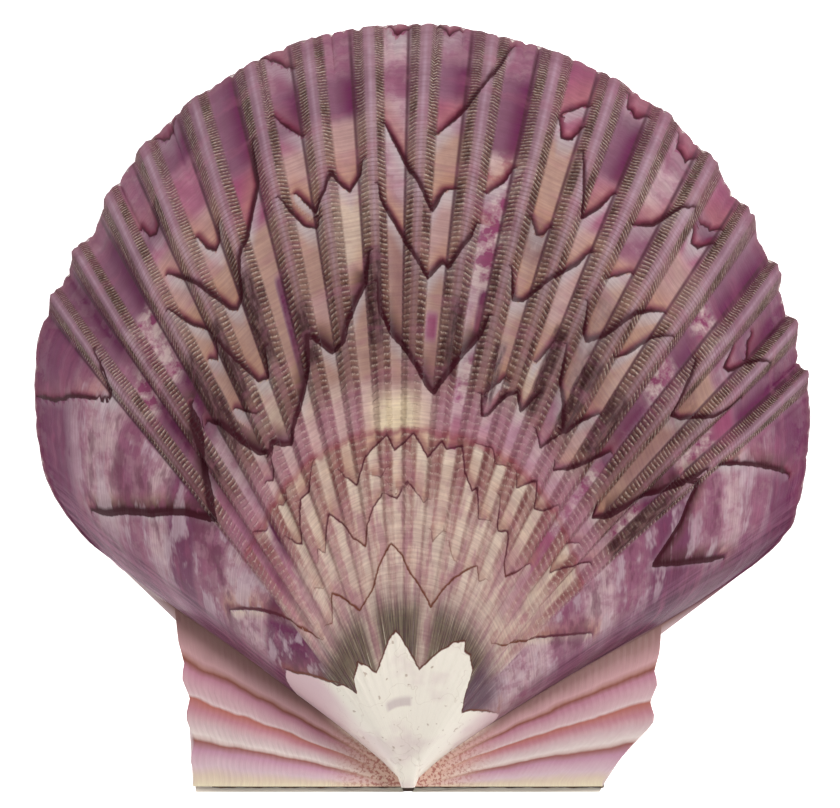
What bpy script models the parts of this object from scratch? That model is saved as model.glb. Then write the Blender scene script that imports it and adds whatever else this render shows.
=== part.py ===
"""A closed scallop shell: an upper valve, a lower valve and the ligament along the hinge.

Each valve is a slab laid out flat in two directions, across the fan of ribs and along the
growth from beak to margin. The slab is then shaped by the formulas of the shell's form.
"""

from math import cos, pi, radians, sin, sqrt

import bmesh
import bpy
from mathutils import Vector

# Driving dimensions, in millimetres and degrees. The beak is the centre of the fan,
# +X is to the right, +Y runs from the beak to the free margin.
MM = 0.001
DISC_CENTRE = (1.98, 43.95)
DISC_RADII = (44.75, 43.45)
UPPER_HEIGHT = 17.0
LOWER_HEIGHT = 13.6
UPPER_TOP_AT = 0.42
LOWER_TOP_AT = 0.48
BACK_POWER = 0.6
AHEAD_POWERS = (2.1, 0.85)
ACROSS_POWERS = (2.6, 0.55)
REST_FLAT = 0.32
VALVE_GAP = 0.3

# The disc is cut off by two flanks, which run straight from the beak to the disc's corners.
LEFT_FLANK = -53.4
RIGHT_FLANK = 58.2
LEFT_CORNER_FROM = -49.5
RIGHT_CORNER_FROM = 56.0
CORNER_CUT = 0.13

# The margin is not a true ellipse: at these angles it lies this far outside or inside it.
DISC_SWELL = (
    (-53.4, 0.3), (-46.0, 0.9), (-40.5, 1.3), (-35.5, 0.2), (-29.5, -0.8), (-24.0, 0.1),
    (-17.0, 0.6), (-8.0, 1.0), (2.0, 0.7), (8.0, 0.1), (22.0, -0.1), (30.0, -0.8),
    (38.0, -1.2), (43.0, -0.8), (48.0, 0.2), (58.2, 0.9),
)

# Angle of each rib's crest where it meets the margin, from the middle line of the shell.
RIB_ANGLES = (
    -36.3, -32.1, -27.2, -22.7, -17.6, -12.5, -7.8, -3.0, 1.4,
    6.5, 11.7, 16.5, 21.2, 26.2, 31.1, 36.0, 40.5, 44.6,
)
RIB_CREST = 0.11
RIB_FOOT = 0.30
RIB_RELIEF = 1.35
RIB_BEND = (1.2, 0.0916)
BEND_SPAN = 0.6
BEND_POWER = 1.3
LEFT_FLANK_BEND = 0.62
RIGHT_FLANK_BEND = 0.46
MARGIN_WAVE = 1.15
MARGIN_LEVEL = 0.35
MARGIN_TEETH = 1.0
RIM_THICKNESS = 0.7
WALL_THICKNESS = 1.6
WALL_THINS = 0.6
TURNS_AT = 0.82

# The auricles, the two ears beside the beak.
LEFT_EAR = (25.0, 0.105)
RIGHT_EAR = (28.2, 0.07)
RIGHT_EAR_CHIP = 5.6
CHIP_FROM = 75.0
EAR_THICKNESS = 1.25
EAR_RIDGES = 4
EAR_RIDGE_HEIGHT = 0.4
BYSSAL_NOTCH = 3.2
NOTCH_ANGLES = (58.0, 62.0, 74.0)
UPPER_HINGE_EDGE = 0.6
LOWER_HINGE_EDGE = 1.3

# The ligament lies in a groove between the two hinge edges.
LIGAMENT_LENGTH = 45.6
LIGAMENT_WIDTH = 1.2
LIGAMENT_THICKNESS = 0.5
LIGAMENT_REACH = 0.85
LIGAMENT_SOFT = 0.12
GROOVE_FROM = 0.8
GROOVE_TO = 1.6
HINGE_EDGE_FADES = 3.0

# Lines of growth that the slab follows, as shares of the way from beak to margin.
GROWTH_ROWS = (0.02, 0.07, 0.13, 0.22, 0.32, 0.42, 0.48, 0.54, 0.65, 0.76, 0.86, 0.94, 1.0)
BEAK_FLAT = 0.3
SLOPE_ANGLE = 1.0
SLOPE_GROWTH = 0.02
UP = Vector((0.0, 0.0, 1.0))
EAR_COLUMNS = 2 * EAR_RIDGES + 1
EAR_SEAM = 0.2
FLANK_COLUMNS = 3


def smooth(low, high, value):
    """Rises from 0 to 1 as the value goes from low to high."""
    share = min(max((value - low) / (high - low), 0.0), 1.0)
    return share * share * (3.0 - 2.0 * share)


def rib_count_at(angle):
    """Place across the ribs: a whole number on each crest, a half between two crests."""
    last = len(RIB_ANGLES) - 1
    for i in range(last):
        if angle < RIB_ANGLES[i + 1] or i == last - 1:
            return i + (angle - RIB_ANGLES[i]) / (RIB_ANGLES[i + 1] - RIB_ANGLES[i])


def angle_at(count):
    """The margin angle of a place across the ribs."""
    i = min(max(int(count), 0), len(RIB_ANGLES) - 2)
    return RIB_ANGLES[i] + (count - i) * (RIB_ANGLES[i + 1] - RIB_ANGLES[i])


def swell_at(angle):
    """How far the margin lies outside the ellipse."""
    for (low, start), (high, end) in zip(DISC_SWELL, DISC_SWELL[1:]):
        if angle <= high:
            return start + (end - start) * smooth(low, high, angle)
    return DISC_SWELL[-1][1]


def disc_reach(angle):
    """Distance from the beak to the disc's margin, with the corners at the flanks rounded."""
    a = radians(angle)
    (cx, cy), (rx, ry) = DISC_CENTRE, DISC_RADII
    square = (sin(a) / rx) ** 2 + (cos(a) / ry) ** 2
    linear = -2.0 * (sin(a) * cx / rx**2 + cos(a) * cy / ry**2)
    rest = (cx / rx) ** 2 + (cy / ry) ** 2 - 1.0
    reach = (-linear + sqrt(linear**2 - 4.0 * square * rest)) / (2.0 * square)
    if angle < LEFT_CORNER_FROM:
        share = (angle - LEFT_CORNER_FROM) / (LEFT_FLANK - LEFT_CORNER_FROM)
    else:
        share = max(angle - RIGHT_CORNER_FROM, 0.0) / (RIGHT_FLANK - RIGHT_CORNER_FROM)
    share = min(share, 1.0)
    return (reach + swell_at(angle)) * (1.0 - CORNER_CUT * (1.0 - sqrt(1.0 - share * share)))


def ear_reach(angle, lower):
    """Distance from the beak to an ear's outer edge, which is close to a straight line."""
    a = radians(abs(angle))
    offset, slope = LEFT_EAR if angle < 0.0 else RIGHT_EAR
    reach = offset / (sin(a) - slope * cos(a))
    if angle > 0.0:
        reach -= RIGHT_EAR_CHIP * smooth(CHIP_FROM, 90.0, angle)
    if lower:
        reach -= VALVE_GAP
        if angle > 0.0:
            start, deepest, end = NOTCH_ANGLES
            notch = smooth(start, deepest, angle) * (1.0 - smooth(deepest, end, angle))
            reach -= BYSSAL_NOTCH * notch
    return reach


def rib_wave(count):
    """1 on a rib's crest and 0 on the floor between two ribs."""
    last = len(RIB_ANGLES) - 1
    if count < -RIB_FOOT or count > last + RIB_FOOT:
        return MARGIN_LEVEL
    nearest = min(max(round(count), 0), last)
    wave = 1.0 - smooth(RIB_CREST, RIB_FOOT, abs(count - nearest))
    return max(wave, MARGIN_LEVEL) if count < 0.0 or count > last else wave


def bent(angle, growth):
    """The ribs curve a little on their way to the beak, the flanks less, the hinge line not."""
    held = min(max(angle, LEFT_FLANK), RIGHT_FLANK)
    bend = RIB_BEND[0] + RIB_BEND[1] * held
    bend *= 1.0 - (1.0 - LEFT_FLANK_BEND) * (1.0 - smooth(LEFT_FLANK, RIB_ANGLES[0], held))
    bend *= 1.0 - (1.0 - RIGHT_FLANK_BEND) * smooth(RIB_ANGLES[-1], RIGHT_FLANK, held)
    seam = LEFT_FLANK if angle < 0.0 else RIGHT_FLANK
    share = abs(angle - held) / (90.0 - abs(seam))
    return angle - bend * (1.0 - share) * ((1.0 - growth) / BEND_SPAN) ** BEND_POWER


class Valve:
    """One half of the shell. side is 1 for the upper valve and -1 for the lower one."""

    def __init__(self, side, height, top_at, hinge_edge):
        self.side = side
        self.height = height
        self.top_at = top_at
        self.hinge_edge = hinge_edge

    def arch(self, growth):
        """The height along the middle line: steep at the beak, long towards the margin."""
        if growth < self.top_at:
            back = (self.top_at - growth) / self.top_at
            return (1.0 - back * back) ** BACK_POWER
        ahead = (growth - self.top_at) / (1.0 - self.top_at)
        return (1.0 - ahead ** AHEAD_POWERS[0]) ** AHEAD_POWERS[1]

    def smooth_point(self, angle, growth):
        """A point of the valve's outside without its ribs."""
        on_disc = LEFT_FLANK <= angle <= RIGHT_FLANK
        reach = disc_reach(angle) if on_disc else ear_reach(angle, self.side < 0)
        turned = radians(bent(angle, growth))
        x = growth * reach * sin(turned)
        y = growth * reach * cos(turned)
        z = EAR_THICKNESS + (RIM_THICKNESS - EAR_THICKNESS) * smooth(0.7, 1.0, growth)
        if on_disc:
            across = angle / (LEFT_FLANK if angle < 0.0 else RIGHT_FLANK)
            fall = (1.0 - across ** ACROSS_POWERS[0]) ** ACROSS_POWERS[1]
            z += self.height * self.arch(growth) * fall
        else:
            seam = LEFT_FLANK if angle < 0.0 else RIGHT_FLANK
            inside = (angle - seam) / ((-90.0 if angle < 0.0 else 90.0) - seam)
            ridge = 0.5 - 0.5 * cos(2.0 * pi * EAR_RIDGES * inside)
            z += EAR_RIDGE_HEIGHT * ridge * smooth(0.1, 0.6, growth)
        return Vector((x, y, z))

    def outward(self, angle, growth):
        """The direction that faces away from the smooth outside."""
        low = max(angle - SLOPE_ANGLE, LEFT_FLANK + 0.05)
        high = min(angle + SLOPE_ANGLE, RIGHT_FLANK - 0.05)
        along = self.smooth_point(angle, min(growth + SLOPE_GROWTH, 1.0))
        along -= self.smooth_point(angle, max(growth - SLOPE_GROWTH, 0.01))
        sideways = self.smooth_point(high, growth) - self.smooth_point(low, growth)
        facing = sideways.cross(along)
        return facing.normalized() if facing.z > 0.0 else UP

    def relief(self, angle, growth, wave):
        """How far the ribs stand out. At the margin they turn into its waves and its teeth."""
        height = wave if self.side > 0 else 1.0 - wave
        to_margin = smooth(TURNS_AT, 1.0, growth)
        lean = self.outward(angle, growth) * RIB_RELIEF * height * growth**0.95
        edge = UP * MARGIN_WAVE * (wave - MARGIN_LEVEL) * self.side
        teeth = MARGIN_TEETH * smooth(8.0, 40.0, abs(angle)) * (wave - MARGIN_LEVEL)
        turned = radians(angle)
        edge += Vector((sin(turned), cos(turned), 0.0)) * teeth
        return lean * (1.0 - to_margin) + edge * to_margin

    def margin_level(self, growth, wave):
        """The wavy line on which the two valves meet."""
        return MARGIN_WAVE * (wave - MARGIN_LEVEL) * smooth(0.75, 1.0, growth) * self.side

    def point(self, angle, growth, inside):
        """A point of the outside or of the inside, in the shell's own frame."""
        place = self.smooth_point(angle, growth)
        if LEFT_FLANK < angle < RIGHT_FLANK:
            wave = rib_wave(rib_count_at(angle))
            floor = VALVE_GAP / 2.0 + self.margin_level(growth, wave)
            relief = self.relief(angle, growth, wave)
            if inside:
                thin = 1.0 - WALL_THINS * smooth(0.7, 1.0, growth)
                wall = WALL_THICKNESS * smooth(0.0, 0.2, growth) * thin
                place += relief * smooth(0.6, 1.0, growth) - self.outward(angle, growth) * wall
                place.z = floor if growth == 1.0 else max(place.z, floor)
            else:
                place += relief
                place.z = max(place.z, floor + RIM_THICKNESS)
        elif inside:
            place.z = VALVE_GAP / 2.0
        if inside:
            groove = LIGAMENT_THICKNESS / 2.0 + VALVE_GAP
            place.z = max(place.z, groove * (1.0 - smooth(GROOVE_FROM, GROOVE_TO, place.y)))
        if growth == GROWTH_ROWS[0]:
            place.y *= BEAK_FLAT
        place.y -= self.hinge_edge * (1.0 - smooth(0.0, HINGE_EDGE_FADES, place.y))
        place.z *= self.side
        return place


def columns():
    """Margin angles from the left hinge end round to the right one, closer on the ribs."""
    ears = [i / (EAR_COLUMNS - 1) for i in range(EAR_COLUMNS)]
    flanks = [i / (FLANK_COLUMNS + 1) for i in range(FLANK_COLUMNS + 1)]
    sides = (-RIB_FOOT, -RIB_CREST, RIB_CREST, RIB_FOOT)
    ribs = [angle_at(i + side) for i in range(len(RIB_ANGLES)) for side in sides]
    left_ear, right_ear = LEFT_FLANK - EAR_SEAM, RIGHT_FLANK + EAR_SEAM
    angles = [-90.0 + (90.0 + left_ear) * share for share in ears]
    angles += [LEFT_FLANK + (ribs[0] - LEFT_FLANK) * share**1.5 for share in flanks]
    angles += ribs
    angles += [RIGHT_FLANK - (RIGHT_FLANK - ribs[-1]) * share**1.5 for share in reversed(flanks)]
    angles += [right_ear + (90.0 - right_ear) * share for share in ears]
    return angles


def slab(column_count, row_count):
    """A closed slab: a grid of the given size, extruded down by one."""
    bm = bmesh.new()
    bmesh.ops.create_grid(bm, x_segments=column_count - 1, y_segments=row_count - 1, size=0.5)
    grown = bmesh.ops.extrude_face_region(bm, geom=bm.faces[:], use_keep_orig=True)
    bottom = [item for item in grown["geom"] if isinstance(item, bmesh.types.BMVert)]
    bmesh.ops.translate(bm, verts=bottom, vec=(0.0, 0.0, -1.0))
    return bm


def shaped(valve):
    """The slab with each of its points moved to its place on the valve."""
    angles = columns()
    bm = slab(len(angles), len(GROWTH_ROWS))
    for vert in bm.verts:
        column = round((vert.co.x + 0.5) * (len(angles) - 1))
        row = round((vert.co.y + 0.5) * (len(GROWTH_ROWS) - 1))
        vert.co = valve.point(angles[column], GROWTH_ROWS[row], vert.co.z < -0.5)
    return bm


def worn_flat(bm):
    """The ribs that the shell lies on are worn to one level."""
    lowest = min(vert.co.z for vert in bm.verts) + REST_FLAT
    for vert in bm.verts:
        vert.co.z = max(vert.co.z, lowest)


def ligament_strip():
    """A thin bar with softened edges."""
    bm = bmesh.new()
    bmesh.ops.create_cube(bm, size=1.0)
    bmesh.ops.scale(bm, verts=bm.verts, vec=(LIGAMENT_LENGTH, LIGAMENT_WIDTH, LIGAMENT_THICKNESS))
    bmesh.ops.translate(bm, verts=bm.verts, vec=(0.0, LIGAMENT_WIDTH / 2.0 - LIGAMENT_REACH, 0.0))
    bmesh.ops.bevel(bm, geom=bm.edges[:], offset=LIGAMENT_SOFT, segments=1, affect="EDGES")
    return bm


def material(name, colour, roughness):
    """A plain shader in the colour of one finish of the shell."""
    made = bpy.data.materials.new(name)
    made.use_nodes = True
    shader = made.node_tree.nodes["Principled BSDF"]
    shader.inputs["Base Color"].default_value = (*colour, 1.0)
    shader.inputs["Roughness"].default_value = roughness
    return made


def add_piece(name, bm, collection, finish, offset):
    """One closed piece as an object, its faces outwards and its lengths in metres."""
    bmesh.ops.translate(bm, verts=bm.verts, vec=offset)
    bmesh.ops.scale(bm, verts=bm.verts, vec=(MM, MM, MM))
    bmesh.ops.triangulate(bm, faces=bm.faces[:])
    bmesh.ops.recalc_face_normals(bm, faces=bm.faces[:])
    mesh = bpy.data.meshes.new(name)
    bm.to_mesh(mesh)
    bm.free()
    mesh.materials.append(finish)
    mesh.shade_smooth()
    mesh.set_sharp_from_angle(angle=radians(35.0))
    piece = bpy.data.objects.new(name, mesh)
    collection.objects.link(piece)
    return piece


def main():
    for old in list(bpy.data.objects):
        bpy.data.objects.remove(old, do_unlink=True)
    collection = bpy.data.collections.new("scallop_shell")
    bpy.context.scene.collection.children.link(collection)
    upper = shaped(Valve(1, UPPER_HEIGHT, UPPER_TOP_AT, UPPER_HINGE_EDGE))
    lower = shaped(Valve(-1, LOWER_HEIGHT, LOWER_TOP_AT, LOWER_HINGE_EDGE))
    worn_flat(lower)
    verts = upper.verts[:] + lower.verts[:]
    middle_x = (min(v.co.x for v in verts) + max(v.co.x for v in verts)) / 2.0
    middle_y = (min(v.co.y for v in verts) + max(v.co.y for v in verts)) / 2.0
    offset = Vector((-middle_x, -middle_y, -min(v.co.z for v in verts)))
    patterned = material("patterned_shell", (0.42, 0.2, 0.28), 0.45)
    pale = material("pale_shell", (0.74, 0.62, 0.58), 0.5)
    horn = material("dark_ligament", (0.09, 0.05, 0.03), 0.6)
    add_piece("upper_valve", upper, collection, patterned, offset)
    add_piece("lower_valve", lower, collection, pale, offset)
    add_piece("hinge_ligament", ligament_strip(), collection, horn, offset)


main()
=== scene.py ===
# %% [markdown]
# A closed scallop shell, seen from straight above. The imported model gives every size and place:
# the two valves and the ligament are known there as plain solids, and this lesson dresses them.

# %% Load the frame
from math import pi, radians

import bpy
import numpy as np
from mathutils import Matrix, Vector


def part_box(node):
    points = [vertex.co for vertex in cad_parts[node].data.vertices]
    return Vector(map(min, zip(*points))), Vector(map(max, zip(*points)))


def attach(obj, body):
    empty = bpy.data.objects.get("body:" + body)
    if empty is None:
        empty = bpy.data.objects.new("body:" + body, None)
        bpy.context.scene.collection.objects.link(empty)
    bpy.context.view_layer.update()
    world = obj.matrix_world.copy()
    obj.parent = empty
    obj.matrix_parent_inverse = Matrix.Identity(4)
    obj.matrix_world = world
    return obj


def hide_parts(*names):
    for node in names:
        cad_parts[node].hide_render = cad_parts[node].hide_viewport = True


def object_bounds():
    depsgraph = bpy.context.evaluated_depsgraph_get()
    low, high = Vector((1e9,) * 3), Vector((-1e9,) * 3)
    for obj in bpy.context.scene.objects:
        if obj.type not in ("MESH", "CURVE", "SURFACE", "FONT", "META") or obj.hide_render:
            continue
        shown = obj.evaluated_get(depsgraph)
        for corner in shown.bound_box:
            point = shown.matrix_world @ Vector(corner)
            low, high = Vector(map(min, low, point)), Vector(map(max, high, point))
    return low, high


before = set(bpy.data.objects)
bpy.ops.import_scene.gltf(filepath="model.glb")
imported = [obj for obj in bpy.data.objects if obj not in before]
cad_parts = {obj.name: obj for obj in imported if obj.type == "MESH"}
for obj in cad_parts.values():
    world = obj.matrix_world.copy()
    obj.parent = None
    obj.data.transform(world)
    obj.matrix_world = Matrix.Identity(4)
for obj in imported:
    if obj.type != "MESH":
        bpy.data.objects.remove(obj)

MM = 0.001
cad_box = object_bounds()
print("the CAD box, in metres:", cad_box)

# %% [markdown]
# The shell was built around its beak, the pointed end that both valves grow from. The ligament
# lies right on the hinge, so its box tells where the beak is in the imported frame.

# %% Where the beak is
LIGAMENT_SETBACK = 0.25 * MM
low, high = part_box("hinge_ligament")
BEAK = np.array([
    (low[0] + high[0]) / 2.0,
    (low[1] + high[1]) / 2.0 + LIGAMENT_SETBACK,
    (low[2] + high[2]) / 2.0,
])
print("beak at", BEAK)

# %% [markdown]
# The photograph looks straight down from far off, so the shell is hardly foreshortened. A long
# lens does the same: the camera stands high and its lens is chosen so that the picture is as
# wide as it was.

# %% Camera
IMAGE_WIDTH, IMAGE_HEIGHT = 840, 808
MM_PER_PIXEL = 0.1163
BEAK_PIXEL = (408.0, 781.0)
CAMERA_HEIGHT = 1.2
SENSOR_WIDTH = 36.0

view_x = BEAK[0] + (IMAGE_WIDTH / 2.0 - BEAK_PIXEL[0]) * MM_PER_PIXEL * MM
view_y = BEAK[1] + (BEAK_PIXEL[1] - IMAGE_HEIGHT / 2.0) * MM_PER_PIXEL * MM
bpy.ops.object.camera_add(location=(view_x, view_y, BEAK[2] + CAMERA_HEIGHT), rotation=(0.0, 0.0, 0.0))
camera = bpy.context.object
camera.data.sensor_width = SENSOR_WIDTH
camera.data.lens = SENSOR_WIDTH * CAMERA_HEIGHT / (IMAGE_WIDTH * MM_PER_PIXEL * MM)
bpy.context.scene.camera = camera
print("lens", round(camera.data.lens), "mm")

# %% [markdown]
# The backdrop is close to white. A floor of pale matt paint with a little light of its own does
# that, and plain big lamps stand round it: the main one to the right, where the photograph's
# shadows say it was, and weaker ones to fill the other side.

# %% Floor and lamps
FLOOR_SIZE = 3.0
FLOOR_GLOW = 0.95
WORLD_LIGHT = 0.26

bpy.ops.mesh.primitive_plane_add(size=FLOOR_SIZE)
floor = bpy.context.object
floor.name = "floor"
paint = bpy.data.materials.new("floor_paint")
paint.use_nodes = True
shader = paint.node_tree.nodes["Principled BSDF"]
shader.inputs["Base Color"].default_value = (0.9, 0.9, 0.9, 1.0)
shader.inputs["Roughness"].default_value = 0.9
shader.inputs["Emission Color"].default_value = (1.0, 1.0, 1.0, 1.0)
shader.inputs["Emission Strength"].default_value = FLOOR_GLOW
floor.data.materials.append(paint)

LAMPS = (
    ("key", (0.34, 0.22, 0.62), 0.22, 3.0),
    ("fill", (-0.50, 0.20, 0.60), 0.60, 1.5),
    ("front", (0.0, -0.6, 0.5), 0.50, 0.8),
)
for name, place, size, power in LAMPS:
    bpy.ops.object.light_add(type="AREA", location=place)
    lamp = bpy.context.object
    lamp.name = name
    lamp.data.size = size
    lamp.data.energy = power
    away = lamp.location.normalized()
    lamp.rotation_euler = away.to_track_quat("Z", "Y").to_euler()

world = bpy.data.worlds.new("studio")
bpy.context.scene.world = world
world.use_nodes = True
world.node_tree.nodes["Background"].inputs["Color"].default_value = (1.0, 1.0, 1.0, 1.0)
world.node_tree.nodes["Background"].inputs["Strength"].default_value = WORLD_LIGHT
bpy.context.scene.view_settings.view_transform = "Standard"
print(len(LAMPS), "lamps")

# %% [markdown]
# The form of a scallop is a fan. Every place on a valve has two numbers: the angle from the
# middle line at which its column meets the margin, and its growth, 0 at the beak and 1 at the
# margin, because the shell grew outwards a line at a time. These are the sizes that the solids
# were built from, in millimetres and degrees.

# %% The sizes of the fan
DISC_CENTRE = (1.98, 43.95)
DISC_RADII = (44.75, 43.45)
LEFT_FLANK, RIGHT_FLANK = -53.4, 58.2
LEFT_CORNER_FROM, RIGHT_CORNER_FROM = -49.5, 56.0
CORNER_CUT = 0.13
SWELL_ANGLES = (-53.4, -46.0, -40.5, -35.5, -29.5, -24.0, -17.0, -8.0,
                2.0, 8.0, 22.0, 30.0, 38.0, 43.0, 48.0, 58.2)
SWELLS = (0.3, 0.9, 1.3, 0.2, -0.8, 0.1, 0.6, 1.0, 0.7, 0.1, -0.1, -0.8, -1.2, -0.8, 0.2, 0.9)
RIB_ANGLES = np.array((
    -36.3, -32.1, -27.2, -22.7, -17.6, -12.5, -7.8, -3.0, 1.4,
    6.5, 11.7, 16.5, 21.2, 26.2, 31.1, 36.0, 40.5, 44.6,
))
LAST_RIB = len(RIB_ANGLES) - 1
RIB_BEND = (1.2, 0.0916)
BEND_SPAN, BEND_POWER = 0.6, 1.3
LEFT_FLANK_BEND, RIGHT_FLANK_BEND = 0.62, 0.46
LEFT_EAR, RIGHT_EAR = (25.0, 0.105), (28.2, 0.07)
RIGHT_EAR_CHIP, CHIP_FROM = 5.6, 75.0
VALVE_GAP = 0.3
print(len(RIB_ANGLES), "ribs")

# %% [markdown]
# The fan's formulas are written once, as functions, so that the mesh, the dark lines and the
# pattern agree on where a place is. They take whole arrays of places, because NumPy works on
# thousands of vertices in one go, where a loop in Python is slow.


# %% The fan's formulas
def smooth(start, end, value):
    """Rises from 0 to 1 as the value goes from start to end."""
    share = np.clip((value - start) / (end - start), 0.0, 1.0)
    return share * share * (3.0 - 2.0 * share)


def swell_at(angle):
    """How far the margin lies outside the ellipse, in soft steps."""
    place = np.interp(angle, SWELL_ANGLES, np.arange(len(SWELLS), dtype=float))
    step = np.minimum(place.astype(int), len(SWELLS) - 2)
    swells = np.array(SWELLS)
    return swells[step] + (swells[step + 1] - swells[step]) * smooth(0.0, 1.0, place - step)


def disc_reach(angle):
    """From the beak to the margin of the disc."""
    a = np.radians(angle)
    (cx, cy), (rx, ry) = DISC_CENTRE, DISC_RADII
    square = (np.sin(a) / rx) ** 2 + (np.cos(a) / ry) ** 2
    linear = -2.0 * (np.sin(a) * cx / rx**2 + np.cos(a) * cy / ry**2)
    rest = (cx / rx) ** 2 + (cy / ry) ** 2 - 1.0
    reach = (-linear + np.sqrt(np.maximum(linear**2 - 4.0 * square * rest, 0.0))) / (2.0 * square)
    left = (angle - LEFT_CORNER_FROM) / (LEFT_FLANK - LEFT_CORNER_FROM)
    right = (angle - RIGHT_CORNER_FROM) / (RIGHT_FLANK - RIGHT_CORNER_FROM)
    share = np.clip(np.where(angle < 0.0, left, right), 0.0, 1.0)
    return (reach + swell_at(angle)) * (1.0 - CORNER_CUT * (1.0 - np.sqrt(1.0 - share * share)))


def ear_reach(angle):
    """From the beak to the outer edge of an ear."""
    a = np.radians(np.maximum(np.abs(angle), 50.0))
    offset = np.where(angle < 0.0, LEFT_EAR[0], RIGHT_EAR[0])
    slope = np.where(angle < 0.0, LEFT_EAR[1], RIGHT_EAR[1])
    reach = offset / (np.sin(a) - slope * np.cos(a))
    return reach - RIGHT_EAR_CHIP * smooth(CHIP_FROM, 90.0, angle)


def bent(angle, growth):
    """The angle that a column has reached: the ribs curve on their way from the beak."""
    held = np.clip(angle, LEFT_FLANK, RIGHT_FLANK)
    bend = RIB_BEND[0] + RIB_BEND[1] * held
    bend = bend * (1.0 - (1.0 - LEFT_FLANK_BEND) * (1.0 - smooth(LEFT_FLANK, RIB_ANGLES[0], held)))
    bend = bend * (1.0 - (1.0 - RIGHT_FLANK_BEND) * smooth(RIB_ANGLES[-1], RIGHT_FLANK, held))
    seam = np.where(angle < 0.0, -LEFT_FLANK, RIGHT_FLANK)
    share = np.abs(angle - held) / (90.0 - seam)
    return angle - bend * (1.0 - share) * ((1.0 - growth) / BEND_SPAN) ** BEND_POWER


print("reach of the middle line", round(float(disc_reach(np.array([0.0]))[0]), 2), "mm")

# %% [markdown]
# The rib count is the second way to name a column: 0, 1, 2 on the crests and a half between two
# crests. In this shell a rib is a narrow rounded crest with two steep sides, and between two
# ribs lies a wide shallow trough, the part that carries the colours.

# %% The rib's cross-section
CREST_HALF = 0.10
FOOT_HALF = 0.30
TROUGH_DEPTH = 0.12
MARGIN_LEVEL = 0.35


def rib_count(angle):
    """The place across the ribs, going on evenly past the last ones."""
    inner = np.interp(angle, RIB_ANGLES, np.arange(LAST_RIB + 1, dtype=float))
    before = (angle - RIB_ANGLES[0]) / (RIB_ANGLES[1] - RIB_ANGLES[0])
    after = LAST_RIB + (angle - RIB_ANGLES[-1]) / (RIB_ANGLES[-1] - RIB_ANGLES[-2])
    return np.where(angle < RIB_ANGLES[0], before, np.where(angle > RIB_ANGLES[-1], after, inner))


def rib_wave(count):
    """1 on a crest, 0 at its foot and a little less in the trough."""
    nearest = np.clip(np.round(count), 0, LAST_RIB)
    away = np.abs(count - nearest)
    wave = 1.0 - smooth(CREST_HALF * 0.6, FOOT_HALF, away)
    hollow = TROUGH_DEPTH * (1.0 - (np.clip(0.5 - away, 0.0, 0.2) / 0.2) ** 2) * (away > FOOT_HALF)
    wave = wave - hollow * (away <= 0.5)
    beyond = (count < 0.0) | (count > LAST_RIB)
    wave = np.where(beyond, np.maximum(wave, MARGIN_LEVEL), wave)
    far = (count < -FOOT_HALF) | (count > LAST_RIB + FOOT_HALF)
    return np.where(far, MARGIN_LEVEL, wave)


print("wave on a crest and in a trough:", rib_wave(np.array([3.0, 3.5])))

# %% [markdown]
# Each valve is a closed slab. Its outside is a fine grid that carries the ribs and the pattern,
# its inside a coarse one that only closes the body, and the two are bridged along their borders.
# The grid lies flat at first: x runs across the fan and y along the growth. Moving every point
# by the fan's formulas then bends the slab into the valve, as one would wrap a sheet on a mould.

# %% A flat slab to start from
INSIDE_SHARE = 4


def deselect():
    """Nothing stays selected or in edit mode."""
    if bpy.context.object and bpy.context.object.mode != "OBJECT":
        bpy.ops.object.mode_set(mode="OBJECT")
    bpy.ops.object.select_all(action="DESELECT")


def flat_slab(name, columns, rows):
    """A fine grid above and a coarse one below, bridged: the sheet that becomes a valve."""
    deselect()
    bpy.ops.mesh.primitive_grid_add(x_subdivisions=columns - 1, y_subdivisions=rows - 1, size=1.0,
                                    location=(0.0, 0.0, 0.0))
    slab = bpy.context.object
    slab.name = name
    bpy.ops.mesh.primitive_grid_add(x_subdivisions=(columns - 1) // INSIDE_SHARE,
                                    y_subdivisions=(rows - 1) // INSIDE_SHARE, size=1.0,
                                    location=(0.0, 0.0, -1.0))
    bpy.ops.object.mode_set(mode="EDIT")
    bpy.ops.mesh.select_all(action="SELECT")
    bpy.ops.mesh.flip_normals()
    bpy.ops.object.mode_set(mode="OBJECT")
    slab.select_set(True)
    bpy.context.view_layer.objects.active = slab
    bpy.ops.object.join()
    bpy.ops.object.mode_set(mode="EDIT")
    bpy.ops.mesh.select_mode(type="EDGE")
    bpy.ops.mesh.select_all(action="DESELECT")
    bpy.ops.mesh.select_non_manifold()
    bpy.ops.mesh.bridge_edge_loops()
    bpy.ops.mesh.select_all(action="SELECT")
    bpy.ops.mesh.normals_make_consistent(inside=False)
    bpy.ops.object.mode_set(mode="OBJECT")
    return slab


def slab_places(slab):
    """Each vertex's share across, share along, and whether it is on the inside."""
    co = np.empty(len(slab.data.vertices) * 3)
    slab.data.vertices.foreach_get("co", co)
    co = co.reshape(-1, 3)
    return co[:, 0] + 0.5, co[:, 1] + 0.5, co[:, 2] < -0.5


# %% [markdown]
# The columns of the slab are spread: many on the ribs, fewer on the smooth flanks beside them and on the
# ears. Two columns stand close together where the disc ends and the ear begins, because the disc drops
# steeply to the ear there.

# %% Columns and rows
EAR_COLUMNS = 22
EAR_SEAM = 0.2
FIRST_GROWTH = 0.02


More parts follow.
